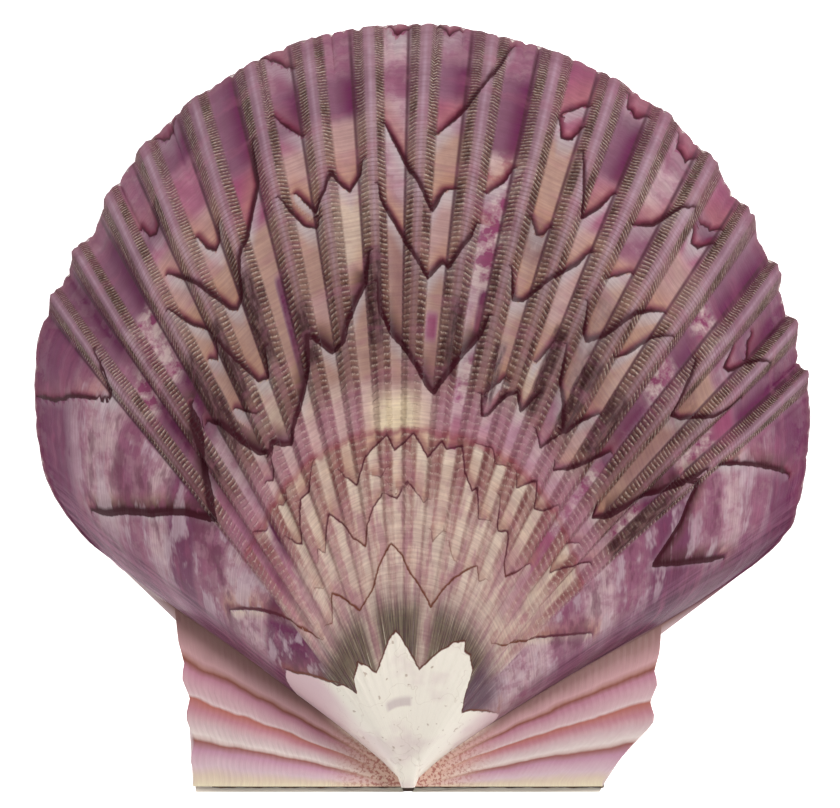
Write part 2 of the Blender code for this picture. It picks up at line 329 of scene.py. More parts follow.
def column_angles(per_rib):
    """Margin angles from the left hinge end round to the right one."""
    ear = np.linspace(0.0, 1.0, EAR_COLUMNS)
    flank = np.linspace(0.0, 1.0, 2 * per_rib + 1)[:-1]
    first, last = -0.5, LAST_RIB + 0.5
    counts = np.linspace(first, last, int(round((last - first) * per_rib)) + 1)
    ribs = np.interp(counts, np.arange(LAST_RIB + 1), RIB_ANGLES)
    step = RIB_ANGLES[1] - RIB_ANGLES[0]
    ribs = np.where(counts < 0.0, RIB_ANGLES[0] + counts * step, ribs)
    step = RIB_ANGLES[-1] - RIB_ANGLES[-2]
    ribs = np.where(counts > LAST_RIB, RIB_ANGLES[-1] + (counts - LAST_RIB) * step, ribs)
    left_ear, right_ear = LEFT_FLANK - EAR_SEAM, RIGHT_FLANK + EAR_SEAM
    angles = np.concatenate([
        -90.0 + (90.0 + left_ear) * ear,
        LEFT_FLANK + (ribs[0] - LEFT_FLANK) * flank**1.4,
        ribs,
        RIGHT_FLANK - (RIGHT_FLANK - ribs[-1]) * flank[::-1] ** 1.4,
        right_ear + (90.0 - right_ear) * ear,
    ])
    spare = (len(angles) - 1) % INSIDE_SHARE
    return angles if spare == 0 else np.insert(angles, 1, np.linspace(
        angles[0], angles[1], INSIDE_SHARE - spare + 2)[1:-1])


print(len(column_angles(20)), "columns")

# %% [markdown]
# The valve's form: along the middle line it climbs steeply from the beak and falls gently to the
# margin, and across the fan it falls away to the flanks. The ribs stand out along the surface's
# own normal, and near the margin they turn into its waves and teeth. The ears are flat, with
# ridges that run out from the beak. The margin is chipped where a sum of three waves rises above
# nought: each wave has its pitch, its start and its share.

# %% The valve's form
ARCH_BACK = 0.6
ARCH_AHEAD = (2.1, 0.85)
ACROSS = (2.6, 0.55)
WORN_FROM, WORN_TO = 0.06, 0.44
RIB_RELIEF = 1.35
TURNS_AT = 0.82
MARGIN_WAVE, MARGIN_TEETH = 1.15, 1.0
CHIPS = ((6.3, 1.0, 0.45), (11.7, 2.0, 0.35), (3.1, 0.4, 0.30))
CHIP_DEPTH = 0.42
RIM_THICKNESS, WALL_THICKNESS, WALL_THINS = 0.7, 1.6, 0.6
EAR_THICKNESS, EAR_RIDGE_HEIGHT = 1.25, 0.4
EAR_FURROWS = (0.0, 0.22, 0.43, 0.70, 1.0)
EAR_NOTCHES = 0.7
LIGAMENT_THICKNESS = 0.5
GROOVE_FROM, GROOVE_TO = 0.8, 1.6
BEAK_FLAT, BEAK_DROP = 0.0, 0.6
HINGE_EDGE_FADES = 3.0
SLOPE_ANGLE, SLOPE_GROWTH, SLOPE_MARGIN = 0.6, 0.01, 0.05
UPPER = {"side": 1.0, "height": 17.0, "top_at": 0.42, "hinge_edge": 0.6}
LOWER = {"side": -1.0, "height": 13.6, "top_at": 0.48, "hinge_edge": 1.3}
BYSSAL_NOTCH, NOTCH_ANGLES = 3.2, (58.0, 62.0, 74.0)


def arch(valve, growth):
    """Height along the middle line as a share of the valve's height."""
    back = np.clip((valve["top_at"] - growth) / valve["top_at"], 0.0, 1.0)
    ahead = np.clip((growth - valve["top_at"]) / (1.0 - valve["top_at"]), 0.0, 1.0)
    return (1.0 - back * back) ** ARCH_BACK * (1.0 - ahead ** ARCH_AHEAD[0]) ** ARCH_AHEAD[1]


def smooth_point(valve, angle, growth):
    """Points of the outside without ribs, and the height of the ears' ridges."""
    on_disc = (angle >= LEFT_FLANK) & (angle <= RIGHT_FLANK)
    ears = ear_reach(angle)
    if valve["side"] < 0.0:
        start, deepest, end = NOTCH_ANGLES
        ears = ears - VALVE_GAP
        ears = ears - BYSSAL_NOTCH * smooth(start, deepest, angle) * (1.0 - smooth(deepest, end, angle))
    seam = np.where(angle < 0.0, LEFT_FLANK, RIGHT_FLANK)
    inside = np.clip((np.abs(angle) - np.abs(seam)) / (90.0 - np.abs(seam)), 0.0, 1.0)
    turns = np.interp(inside, EAR_FURROWS, np.arange(len(EAR_FURROWS)))
    ridge = 0.5 - 0.5 * np.cos(2.0 * pi * turns)
    ears = ears - EAR_NOTCHES * (1.0 - ridge) * smooth(0.1, 0.3, inside) * smooth(1.0, 0.9, inside)
    reach = np.where(on_disc, disc_reach(np.clip(angle, LEFT_FLANK, RIGHT_FLANK)), ears)
    turned = np.radians(bent(angle, growth))
    z = EAR_THICKNESS + (RIM_THICKNESS - EAR_THICKNESS) * smooth(0.7, 1.0, growth)
    across = np.clip(angle / seam, 0.0, 1.0)
    dome = valve["height"] * arch(valve, growth) * (1.0 - across ** ACROSS[0]) ** ACROSS[1]
    ridges = EAR_RIDGE_HEIGHT * ridge * smooth(0.1, 0.6, growth)
    z = z + np.where(on_disc, dome, ridges)
    return np.stack([growth * reach * np.sin(turned), growth * reach * np.cos(turned), z], axis=1)


def outward(valve, angle, growth):
    """The direction that faces away from the smooth outside."""
    left = np.maximum(angle - SLOPE_ANGLE, LEFT_FLANK + SLOPE_MARGIN)
    right = np.minimum(angle + SLOPE_ANGLE, RIGHT_FLANK - SLOPE_MARGIN)
    along = smooth_point(valve, angle, np.minimum(growth + SLOPE_GROWTH, 1.0))
    along = along - smooth_point(valve, angle, np.maximum(growth - SLOPE_GROWTH, 0.01))
    sideways = smooth_point(valve, right, growth) - smooth_point(valve, left, growth)
    facing = np.cross(sideways, along)
    length = np.linalg.norm(facing, axis=1, keepdims=True)
    up = np.array([0.0, 0.0, 1.0])
    return np.where(facing[:, 2:3] > 0.0, facing / np.maximum(length, 1e-9), up)


def chipped(angle):
    """How much of the margin has broken away at each angle, in millimetres."""
    waves = sum(share * np.sin(angle * pitch + start) for pitch, start, share in CHIPS)
    return CHIP_DEPTH * np.clip(waves, 0.0, 1.0)


def shape_valve(slab, valve, angles, fine_relief):
    """Moves every point of the slab to its place and returns its angle, growth and count."""
    across, along, inside = slab_places(slab)
    angle = np.interp(across, np.linspace(0.0, 1.0, len(angles)), angles)
    growth = FIRST_GROWTH + (1.0 - FIRST_GROWTH) * along
    count = rib_count(angle)
    on_disc = (angle > LEFT_FLANK) & (angle < RIGHT_FLANK)
    wave = rib_wave(count)
    place = smooth_point(valve, angle, growth)
    normal = outward(valve, angle, growth)
    height = wave if valve["side"] > 0.0 else 1.0 - wave
    to_margin = smooth(TURNS_AT, 1.0, growth)
    worn = smooth(WORN_FROM, WORN_TO, growth)
    lean = normal * (RIB_RELIEF * height * growth**0.95 * worn)[:, None]
    edge_lift = MARGIN_WAVE * (wave - MARGIN_LEVEL) * valve["side"]
    teeth = MARGIN_TEETH * smooth(8.0, 40.0, np.abs(angle)) * (wave - MARGIN_LEVEL)
    teeth = teeth - chipped(angle)
    turned = np.radians(angle)
    edge = np.stack([np.sin(turned) * teeth, np.cos(turned) * teeth, edge_lift], axis=1)
    relief = lean * (1.0 - to_margin)[:, None] + edge * to_margin[:, None]
    floor_z = VALVE_GAP / 2.0 + edge_lift * smooth(0.75, 1.0, growth)
    wall = WALL_THICKNESS * smooth(0.0, 0.2, growth) * (1.0 - WALL_THINS * smooth(0.7, 1.0, growth))

    out = place + relief * on_disc[:, None] + normal * fine_relief(angle, growth, count)[:, None]
    out[:, 2] = np.where(on_disc, np.maximum(out[:, 2], floor_z + RIM_THICKNESS), out[:, 2])
    under = place + relief * smooth(0.6, 1.0, growth)[:, None] - normal * wall[:, None]
    at_margin = growth > 1.0 - 1e-6
    under[:, 2] = np.where(at_margin, floor_z, np.maximum(under[:, 2], floor_z))
    under = np.where(on_disc[:, None], under, place)
    under[:, 2] = np.where(on_disc, under[:, 2], VALVE_GAP / 2.0)
    groove = LIGAMENT_THICKNESS / 2.0 + VALVE_GAP
    under[:, 2] = np.maximum(under[:, 2], groove * (1.0 - smooth(GROOVE_FROM, GROOVE_TO, under[:, 1])))
    point = np.where(inside[:, None], under, out)
    first = growth < FIRST_GROWTH + 1e-6
    point[:, 1] = np.where(first, point[:, 1] * BEAK_FLAT, point[:, 1])
    point[:, 2] = np.where(first & ~inside, point[:, 2] * BEAK_DROP, point[:, 2])
    point[:, 1] -= valve["hinge_edge"] * (1.0 - smooth(0.0, HINGE_EDGE_FADES, point[:, 1]))
    point[:, 2] *= valve["side"]
    point = point * MM + BEAK
    point[:, 2] = np.clip(point[:, 2], cad_box[0][2], cad_box[1][2])
    slab.data.vertices.foreach_set("co", point.ravel())
    slab.data.update()
    return {"angle": angle, "growth": growth, "count": count, "inside": inside, "on_disc": on_disc}


print("heights of the two arches:", UPPER["height"], "and", LOWER["height"], "mm")

# %% [markdown]
# The dark zigzags are the shell's own pattern: each was the growing edge's line of pigment for a
# while. They are drawn here as on a worksheet, every one a row of corners, where a corner is the
# rib count and the growth in hundredths. Between two corners a line runs straight. The number
# that each row starts with is the line's half width in millimetres.

# %% The dark lines of the outer half
OUTER_LINES = (
    (0.18, (-.6, 84), (-.4, 82), (-.2, 82.3), (0, 84.3), (.1, 88)),
    (0.62, (-.6, 58), (-.4, 56), (-.15, 54.7), (.2, 57.5), (.45, 59.5), (1, 62.3), (1.2, 65.3),
     (1.35, 68.5)),
    (0.30, (1.5, 64.5), (1.9, 61.5), (2.3, 55.5), (2.55, 53.3), (3, 51.8), (3.15, 52.8), (3.4, 51.5),
     (3.7, 50.5), (4, 52.3), (4.5, 55.2), (4.85, 58), (5, 61.7), (5.2, 61), (5.6, 58.4),
     (5.95, 58.8), (6.15, 61.3), (6.5, 64.5), (6.7, 66), (6.85, 70)),
    (0.30, (7, 66), (7.05, 62), (7.4, 58.8), (7.7, 57.5), (8.25, 54), (8.5, 52.3), (8.7, 51.6),
     (9.05, 54.5), (9.4, 57.5), (9.75, 60.5), (9.85, 63)),
    (0.14, (2.33, 92), (2.4, 89.8), (2.55, 89.2), (2.7, 89.8), (2.77, 92.5)),
    (0.22, (2.4, 83.5), (2.7, 80.7), (3, 77.8), (3.15, 75.5), (3.4, 72), (3.55, 71.2), (3.75, 72),
     (4, 76.5), (4.2, 78), (4.4, 80.5), (4.7, 84), (4.78, 90)),
    (0.14, (3.3, 83.5), (3.4, 81.3), (3.55, 80), (3.7, 80.6), (3.78, 82.5)),
    (0.16, (2.1, 79.5), (2.25, 77), (2.4, 75), (2.7, 72.5), (2.78, 71)),
    (0.16, (2.42, 69.3), (2.6, 68.2), (2.83, 70.3), (2.92, 68.5), (3.1, 65.5), (3.4, 61),
     (3.7, 60.2), (3.92, 64)),
    (0.16, (2.45, 61), (2.75, 59.2), (3.05, 57.5)),
    (0.16, (2.33, 49.6), (2.58, 48.7), (2.8, 49.7), (2.95, 51.5)),
    (0.14, (3.25, 99.5), (3.45, 98), (3.62, 99.5)),
    (0.14, (5.25, 99.8), (5.5, 98.3), (5.7, 96.7)),
    (0.14, (5.25, 91.5), (5.35, 90.3), (5.7, 87.3)),
    (0.18, (5.05, 80.5), (5.2, 78.5), (5.45, 75.8), (5.75, 74.7), (5.8, 76)),
    (0.18, (5.4, 80.3), (5.75, 76.8), (6, 78.8), (6.18, 81.3), (6.27, 80), (6.5, 78.4), (6.75, 80.3),
     (6.8, 82)),
    (0.22, (7.25, 86.7), (7.5, 83.7), (7.8, 80), (8, 78.3), (8.28, 75), (8.5, 78), (8.72, 78.4)),
    (0.18, (8.27, 85), (8.5, 87), (8.75, 89.5), (9, 93.3), (9.2, 96.5), (9.3, 99)),
    (0.22, (7.1, 78.5), (7.15, 76.5), (7.45, 73.7), (7.8, 70.3), (8.3, 66.2), (8.6, 68.7),
     (8.75, 68), (9, 71), (9.15, 72.8), (9.22, 74.5)),
    (0.16, (9.3, 78.7), (9.6, 81), (9.7, 83)),
    (0.18, (10.25, 77.5), (10.47, 75.7), (10.6, 76), (10.7, 77.5)),
    (0.22, (10.1, 70), (10.35, 66.3), (10.6, 66.8), (11, 70.5), (11.3, 73), (11.5, 74.7),
     (11.7, 77.5)),
    (0.15, (10.28, 92), (10.5, 93.8), (10.7, 95)),
    (0.15, (10.27, 91.5), (10.4, 89.2), (10.6, 89.6), (10.72, 92)),
    (0.18, (10.83, 88.5), (11, 85), (11.25, 80.5), (11.5, 83), (11.68, 86)),
    (0.20, (10.1, 53), (10.3, 50.3), (10.5, 50.8), (10.85, 54), (11.2, 55.3), (11.5, 53.3),
     (11.85, 57)),
    (0.16, (10.3, 53.5), (10.7, 56.3), (10.8, 56)),
    (0.16, (11.45, 60), (11.7, 64.3)),
    (0.20, (12.22, 83.8), (12.6, 86.3), (12.85, 90.5), (13.1, 92.6)),
    (0.15, (12.22, 75.5), (12.65, 79)),
    (0.22, (12.05, 71), (12.3, 67.5), (12.45, 67), (12.75, 69.3), (13.1, 75), (13.35, 77.3),
     (13.65, 79.3)),
    (0.16, (13.2, 68.3), (13.45, 70.5), (13.75, 75.5), (14.08, 77.8)),
    (0.22, (12, 64.5), (12.25, 60), (12.65, 57.8), (12.95, 54.8), (13.25, 58), (13.65, 61.5)),
    (0.18, (12.15, 52.5), (12.55, 51), (12.7, 52.5), (12.95, 54.8)),
    (0.24, (13.2, 51), (13.3, 50.3), (13.7, 52.3), (14, 54.8), (14.35, 58), (14.55, 60)),
    (0.15, (13.35, 92.5), (13.6, 93.8), (13.72, 94.8)),
    (0.15, (13.28, 91), (13.38, 89.5), (13.5, 89.7), (13.75, 92.5)),
    (0.20, (15.4, 92), (15.45, 90.8), (15.75, 89.3), (16.15, 93)),
    (0.20, (15.28, 87.5), (15.45, 84.8), (15.6, 85.5), (15.75, 89)),
    (0.22, (14.8, 80), (15, 75.5), (15.2, 72.3), (15.5, 74), (16, 79), (16.2, 83), (16.22, 86)),
    (0.34, (15.2, 54), (15.45, 52.6), (15.75, 54.5), (16.2, 62), (16.6, 66), (16.9, 72), (17, 76)),
    (0.30, (17.2, 78.5), (17.6, 83.5)),
    (0.12, (11.28, 99.4), (11.33, 97.6), (11.55, 97.0), (11.72, 98.2)),
    (0.12, (12.32, 99.0), (12.38, 97.4), (12.6, 96.9), (12.72, 98.6)),
    (0.12, (7.38, 99.6), (7.5, 98.4), (7.7, 99.5)),
    (0.12, (8.2, 99.6), (8.35, 98.6), (8.5, 99.6)),
)
print(len(OUTER_LINES), "dark lines on the outer half")

# %% [markdown]
# Nearer the beak the shell was small when it laid its lines, so they are finer and closer, with
# about one peak a rib. They are drawn in the same way.

# %% The dark lines of the inner half
INNER_LINES = (
    (0.11, (2.34, 45.6), (2.53, 44.9), (2.81, 45.1), (3, 46.2)),
    (0.13, (2.06, 41.9), (2.34, 39.4), (2.59, 38.6), (3, 41.2), (3.3, 43.4), (3.74, 43.3),
     (4.24, 46.5)),
    (0.13, (5.06, 43.6), (5.28, 42.1), (5.71, 40.4), (6.2, 43.6), (7.1, 46), (7.4, 43.9),
     (7.81, 44.8), (8.15, 46), (8.7, 43.1), (9.14, 45.6), (9.36, 44.7), (9.86, 45.6), (10.14, 42.5),
     (10.64, 40.5), (10.79, 41.2), (11.26, 37.5), (11.73, 38.1)),
    (0.12, (3.06, 34.7), (3.23, 36.2), (3.49, 34.8), (3.9, 37), (4.23, 39), (4.8, 36.2),
     (5.06, 34.2), (5.62, 32.3), (5.9, 35), (6.28, 36.9), (6.81, 38.5), (7.46, 37.5), (7.96, 39.8),
     (8.28, 38.6), (8.7, 37.1), (8.86, 37.9)),
    (0.08, (6.8, 38.5), (7.2, 38.3)),
    (0.08, (7.46, 39), (7.9, 39)),
    (0.08, (6.96, 40.1), (7.15, 39.3)),
    (0.10, (2.15, 32.7), (2.65, 31.3)),
    (0.10, (9.17, 33.9), (9.29, 32.4), (9.76, 34.3)),
    (0.10, (10.08, 33.2), (10.26, 31.9), (10.6, 30.8)),
    (0.11, (10.36, 46.5), (10.95, 46.9), (11.23, 45.2), (11.73, 45.8)),
    (0.13, (12.08, 46), (12.36, 44.2), (12.89, 47.1), (13.33, 44.2), (13.7, 45.2), (14.04, 47.8)),
    (0.11, (15.17, 45.9), (15.67, 48.4)),
    (0.13, (15.17, 42.8), (15.48, 41.2), (15.92, 45), (16.64, 49)),
    (0.13, (11.83, 42), (12.17, 38.5), (12.33, 37.7), (12.76, 38.8), (13.2, 35.2), (13.64, 33.9),
     (14.36, 38.5)),
    (0.14, (-.6, 35.8), (0, 32), (.65, 27.7), (.96, 26.9)),
    (0.13, (1.71, 27.7), (2.21, 26.7), (3.09, 29.8), (3.71, 27.5), (4.4, 24.9), (5.59, 26.5),
     (6.21, 29.2), (7.03, 31.9), (7.71, 30.1), (8.24, 27.7), (9.01, 25.9), (9.7, 23.9), (10.2, 26.2),
     (10.89, 28.9), (11.95, 31.9), (12.39, 30.3), (12.67, 31.2)),
    (0.13, (14.98, 26), (15.76, 27.7), (16.64, 30.9), (17.6, 36)),
    (0.20, (1.03, 46.9), (1.34, 45.5)),
    (0.09, (6.3, 41.2), (6.75, 40.6), (7.1, 41.9)),
)
print(len(INNER_LINES), "more on the inner half")

# %% [markdown]
# On the two smooth flanks there is no rib to count, so the lines there are given by the column's
# angle. They are the ends of the same bands of pigment, and they run much wider.

# %% The dark lines of the flanks
FLANK_LINES = (
    (0.22, (-44.1, 99.8), (-42.9, 94.5), (-41.1, 89.8), (-39.9, 86.2), (-38.5, 82.1), (-37.7, 81.9),
     (-36.1, 85.9)),
    (0.40, (-49.3, 86.2), (-48.3, 81.2), (-46.5, 75.9), (-44.1, 68.6), (-41.9, 63.9), (-38.7, 57.1),
     (-37.1, 54.8), (-35.4, 58.3)),
    (0.20, (-47.1, 48.8), (-44.9, 45.4), (-40.7, 38.6), (-38.1, 34.8), (-35, 30.4)),
    (0.18, (-48.9, 34.5), (-47.3, 31.2), (-43.4, 26.2), (-40.1, 22.4), (-36.1, 20.4)),
    (0.28, (45.4, 78.9), (46.8, 82.7), (48.9, 88.9), (50.9, 94.8), (51.4, 95.6)),
    (0.34, (44, 71.2), (45.4, 73.9), (46.7, 71.2), (48.2, 68.9), (50.4, 62.7), (52.2, 68.6),
     (54.1, 76.5), (54.9, 80.9)),
    (0.25, (42, 47.4), (43.3, 49.5)),
    (0.16, (42, 30.4), (44.2, 32.1), (47.6, 36.5), (50.2, 40.9), (53.3, 48)),
    (0.13, (44.8, 15.8), (50.4, 19.6), (55.5, 23.9)),
)


def count_corners(line):
    """The corners of a flank's line with the angle turned into a rib count."""
    angles = np.array([corner[0] for corner in line[1:]], dtype=float)
    growths = [corner[1] for corner in line[1:]]
    return (line[0],) + tuple(zip(rib_count(angles), growths))


DARK_LINES = OUTER_LINES + INNER_LINES + tuple(count_corners(line) for line in FLANK_LINES)
print(len(DARK_LINES), "dark lines in all")

# %% [markdown]
# A line on a mesh can't be thinner than its faces if it is painted vertex by vertex. Instead each
# vertex keeps how far it is from the nearest line, and with a sign, on which side of it. Both
# change evenly across a face, so the shader finds the line's true edge between two vertices.

# %% Distance to the nearest dark line
REACH_SCALE = 0.88
RIB_STEP = 7.1
FAR = 9.0
END_FADES = 4.0
END_WIDTH, TAPER = 0.35, 3.0
USUAL_HALF = 0.2
NEAR_COUNTS = 1.2


def measure_lines(count, growth, lines):
    """For each place: signed distance to the nearest line, the distance, and its half width."""
    hundredths = growth * 100.0
    wide = RIB_STEP * growth
    nearest = np.full(len(count), FAR)
    signed = np.full(len(count), FAR)
    half_width = np.full(len(count), USUAL_HALF)
    since = np.full(len(count), FAR)
    until = np.full(len(count), FAR)
    for line in lines:
        corners = np.array(line[1:], dtype=float)
        us, ts = corners[:, 0], corners[:, 1]
        near = np.nonzero((count > us.min() - NEAR_COUNTS) & (count < us.max() + NEAR_COUNTS))[0]
        u, t, w = count[near], hundredths[near], wide[near]
        best = np.full(len(near), FAR)
        for (u0, t0), (u1, t1) in zip(corners, corners[1:]):
            run, rise = (u1 - u0) * w, (t1 - t0) * REACH_SCALE
            px, py = (u - u0) * w, (t - t0) * REACH_SCALE
            share = np.clip((px * run + py * rise) / np.maximum(run * run + rise * rise, 1e-9), 0.0, 1.0)
            best = np.minimum(best, np.hypot(px - share * run, py - share * rise))
        above = t - np.interp(u, us, ts)
        closer = best < nearest[near]
        chosen = near[closer]
        nearest[chosen] = best[closer]
        signed[chosen] = (best * np.sign(above))[closer]
        ends = np.minimum(np.hypot((u - us[0]) * w, (t - ts[0]) * REACH_SCALE),
                          np.hypot((u - us[-1]) * w, (t - ts[-1]) * REACH_SCALE))
        tapered = line[0] * (END_WIDTH + (1.0 - END_WIDTH) * smooth(0.0, TAPER, ends))
        half_width[chosen] = tapered[closer]
        past_end = np.maximum(np.maximum(us.min() - u, u - us.max()), 0.0) * w
        far = np.hypot(above * REACH_SCALE, past_end * END_FADES)
        up = above >= 0.0
        since[near[up]] = np.minimum(since[near[up]], far[up])
        until[near[~up]] = np.minimum(until[near[~up]], far[~up])
    return signed, nearest, half_width, since, until


print("a rib's step at the margin:", RIB_STEP, "mm")

# %% [markdown]
# Between the zigzags the troughs are tinted in stretches. Each trough is described from the
# margin inwards as on a paint list: a tint, then the growth in hundredths down to which it holds.
# Tints are mixtures of six pigments, so the shader needs only six masks. Small patches lie over
# the stretches: from and to in rib counts, from and to in hundredths of growth, and a tint.

# %% The tints of the troughs
PIGMENTS = ("purple", "pink", "tan", "cream", "marble", "umber")
TINTS = {
    "purple": (0.9, 0.1, 0.0, 0.0, 0.0, 0.0),
    "deep": (1.0, 0.0, 0.1, 0.0, 0.1, 0.0),
    "mauve": (0.5, 0.55, 0.0, 0.0, 0.15, 0.0),
    "pink": (0.1, 0.8, 0.0, 0.1, 0.1, 0.0),
    "rose": (0.3, 1.0, 0.0, 0.0, 0.0, 0.0),
    "tan": (0.0, 0.0, 0.85, 0.2, 0.0, 0.0),
    "salmon": (0.0, 0.2, 0.4, 0.5, 0.0, 0.0),
    "cream": (0.0, 0.0, 0.1, 0.9, 0.1, 0.0),
    "brown": (0.3, 0.0, 0.9, 0.0, 0.0, 0.0),
    "dusky": (0.25, 0.0, 0.8, 0.0, 0.0, 0.35),
    "marbled": (0.25, 0.4, 0.0, 0.2, 1.0, 0.0),
    "pale": (0.0, 0.15, 0.0, 0.1, 0.3, 0.0),
    "ruby": (0.45, 1.0, 0.2, 0.0, 0.0, 0.0),
    "umber": (0.0, 0.0, 0.6, 0.0, 0.0, 1.0),
}
TROUGHS = (
    "deep 86 purple 83 mauve 79 marbled 73 deep 60 mauve 57 pink 40 rose 30 pale 0",
    "mauve 97 purple 84 marbled 73 deep 62 pale 44 mauve 40 pink 30 cream 0",
    "mauve 91 purple 88 pink 86 salmon 77 tan 62 salmon 50 cream 0",
    "purple 93 pink 86 salmon 78 tan 62 cream 50 cream 0",
    "purple 87 rose 79 tan 66 tan 55 cream 0",
    "mauve 94 purple 88 pink 86 salmon 80 tan 66 salmon 62 tan 54 cream 0",
    "mauve 94 purple 88 salmon 79 cream 68 tan 53 cream 0",
    "pale 95 mauve 90 pale 76 salmon 73 brown 57 tan 52 cream 0",
    "mauve 95 purple 90 rose 86 tan 78 salmon 67 tan 58 brown 51 cream 0",
    "mauve 95 purple 84 marbled 66 pale 58 marbled 47 cream 0",
    "rose 94 pink 89 tan 78 dusky 72 tan 56 pale 47 cream 0",
    "rose 97 purple 87 pink 80 salmon 66 tan 60 cream 54 pale 47 cream 0",
    "mauve 94 pale 87 mauve 79 tan 74 dusky 58 mauve 51 pale 46 cream 0",
    "rose 94 purple 91 pink 87 salmon 78 tan 64 brown 58 salmon 51 pale 46 cream 0",
    "purple 86 marbled 82 purple 76 marbled 70 deep 57 marbled 44 rose 39 pink 30 cream 0",
    "deep 94 purple 88 mauve 82 tan 78 dusky 72 brown 60 tan 53 pale 46 cream 0",
    "deep 92 purple 84 rose 79 marbled 70 deep 62 marbled 54 pale 46 cream 0",
)
LEFT_FLANK_TINTS = (
    "deep 97 purple 90 mauve 86 pale 78 mauve 70 pale 65 purple 58 mauve 50 pale 39 "
    "deep 22 purple 14 pink 0"
)
RIGHT_FLANK_TINTS = (
    "deep 96 purple 91 mauve 84 pale 79 mauve 72 purple 62 mauve 54 pale 46 mauve 38 "
    "pale 20 pink 0"
)
TINT_BLEND = 1.2
PATCHES = (
    (9.55, 9.80, 60, 66, "deep"), (4.55, 4.85, 57, 71, "deep"), (1.60, 1.95, 42, 46, "deep"),
    (6.72, 7.12, 58, 70, "umber"), (1.9, 2.3, 57, 65, "umber"), (4.85, 5.2, 58, 66, "umber"),
    (10.2, 10.5, 52, 60, "umber"), (13.7, 14.2, 56, 66, "umber"), (8.9, 9.25, 54, 64, "umber"),
    (16.7, 17.2, 54, 68, "umber"), (0.75, 1.15, 57, 66, "umber"), (1.7, 2.1, 60, 72, "umber"),
    (2.7, 3.1, 60, 72, "umber"), (3.7, 4.1, 62, 74, "umber"), (11.6, 11.95, 54, 66, "umber"),
    (12.62, 13.1, 55, 66, "umber"), (14.2, 14.7, 38.5, 44, "rose"), (9.40, 9.80, 44.5, 49, "rose"),
    (8.35, 8.60, 58.5, 61.5, "rose"), (11.35, 11.66, 97.2, 101, "ruby"),
    (12.40, 12.68, 97.2, 101, "ruby"), (7.40, 7.70, 98.6, 101, "ruby"),
    (0.35, 0.75, 60, 70, "deep"), (16.3, 16.8, 64, 70, "deep"), (14.3, 14.8, 59, 68, "deep"),
)


def tint_masks(growth, tints):
    """The pigments along one trough."""
    words = tints.split()
    masks = np.zeros((len(growth), len(PIGMENTS)))
    upper = 200.0
    for name, lower in zip(words[::2], words[1::2]):
        lower = float(lower)
        share = smooth(lower - TINT_BLEND, lower + TINT_BLEND, growth * 100.0)
        share = share - smooth(upper - TINT_BLEND, upper + TINT_BLEND, growth * 100.0)
        masks += share[:, None] * np.array(TINTS[name])
        upper = lower
    return masks


def all_masks(count, growth):
    """The pigments everywhere: each trough has its own, and ribs take from both sides."""
    lists = (LEFT_FLANK_TINTS,) + TROUGHS + (RIGHT_FLANK_TINTS,)
    place = np.clip(count + 0.5, 0.0, len(lists) - 1.001)
    masks = np.zeros((len(count), len(PIGMENTS)))
    for number, tints in enumerate(lists):
        share = np.clip(1.0 - np.abs(place - number), 0.0, 1.0)
        share = smooth(0.2, 0.8, share)
        some = np.nonzero(share > 0.0)[0]
        masks[some] += tint_masks(growth[some], tints) * share[some, None]
    for left, right, lower, upper, name in PATCHES:
        share = smooth(left - 0.05, left + 0.03, count)
        share = share * (1.0 - smooth(right - 0.03, right + 0.05, count))
        share = share * smooth(lower - 1.0, lower + 0.5, growth * 100.0)
        share = share * (1.0 - smooth(upper - 0.5, upper + 1.0, growth * 100.0))
        masks = masks * (1.0 - share[:, None]) + share[:, None] * np.array(TINTS[name])
    return masks


print(len(TROUGHS), "troughs with", len(TINTS), "tints")

# %% [markdown]
# Beside the ribs' form the outside has finer relief, which the real shell shows as thin scales on
# the sides of the ribs, one per growth line and closer towards the margin, and as small steps
# where growth paused, with a few knobs by the margin. On the fine grid the wide-set scales near
# the beak can be real relief, and further out, where they are finer than the grid, the material
# takes over with the same phase.

# %% Scales, steps and knobs
SCALE_START, SCALE_NARROWS = 1.45, 1.19
SCALED_LENGTH = 88.0
SCALE_HEIGHT = 0.10
GROWTH_STEPS = ((0.465, 0.10), (0.52, 0.05), (0.70, 0.05), (0.865, 0.10), (0.93, 0.09), (0.975, 0.08))
STEP_WIDTH = 0.006
KNOBS = ((7.5, 0.992), (8.3, 0.992), (11.5, 0.982), (12.5, 0.985))
KNOB_HEIGHT, KNOB_COUNTS, KNOB_GROWTH = 0.35, 0.10, 0.008
EAR_LINE_HEIGHT, EAR_LINE_PITCH = 0.02, 230.0
LOWER_LINE_HEIGHT, LOWER_LINE_PITCH = 0.04, 120.0


def scale_phase(growth):
    """Counts the scales from the beak: their spacing narrows from 1.4 mm to 0.3 mm."""
    return -SCALED_LENGTH / SCALE_NARROWS * np.log(SCALE_START - SCALE_NARROWS * growth)


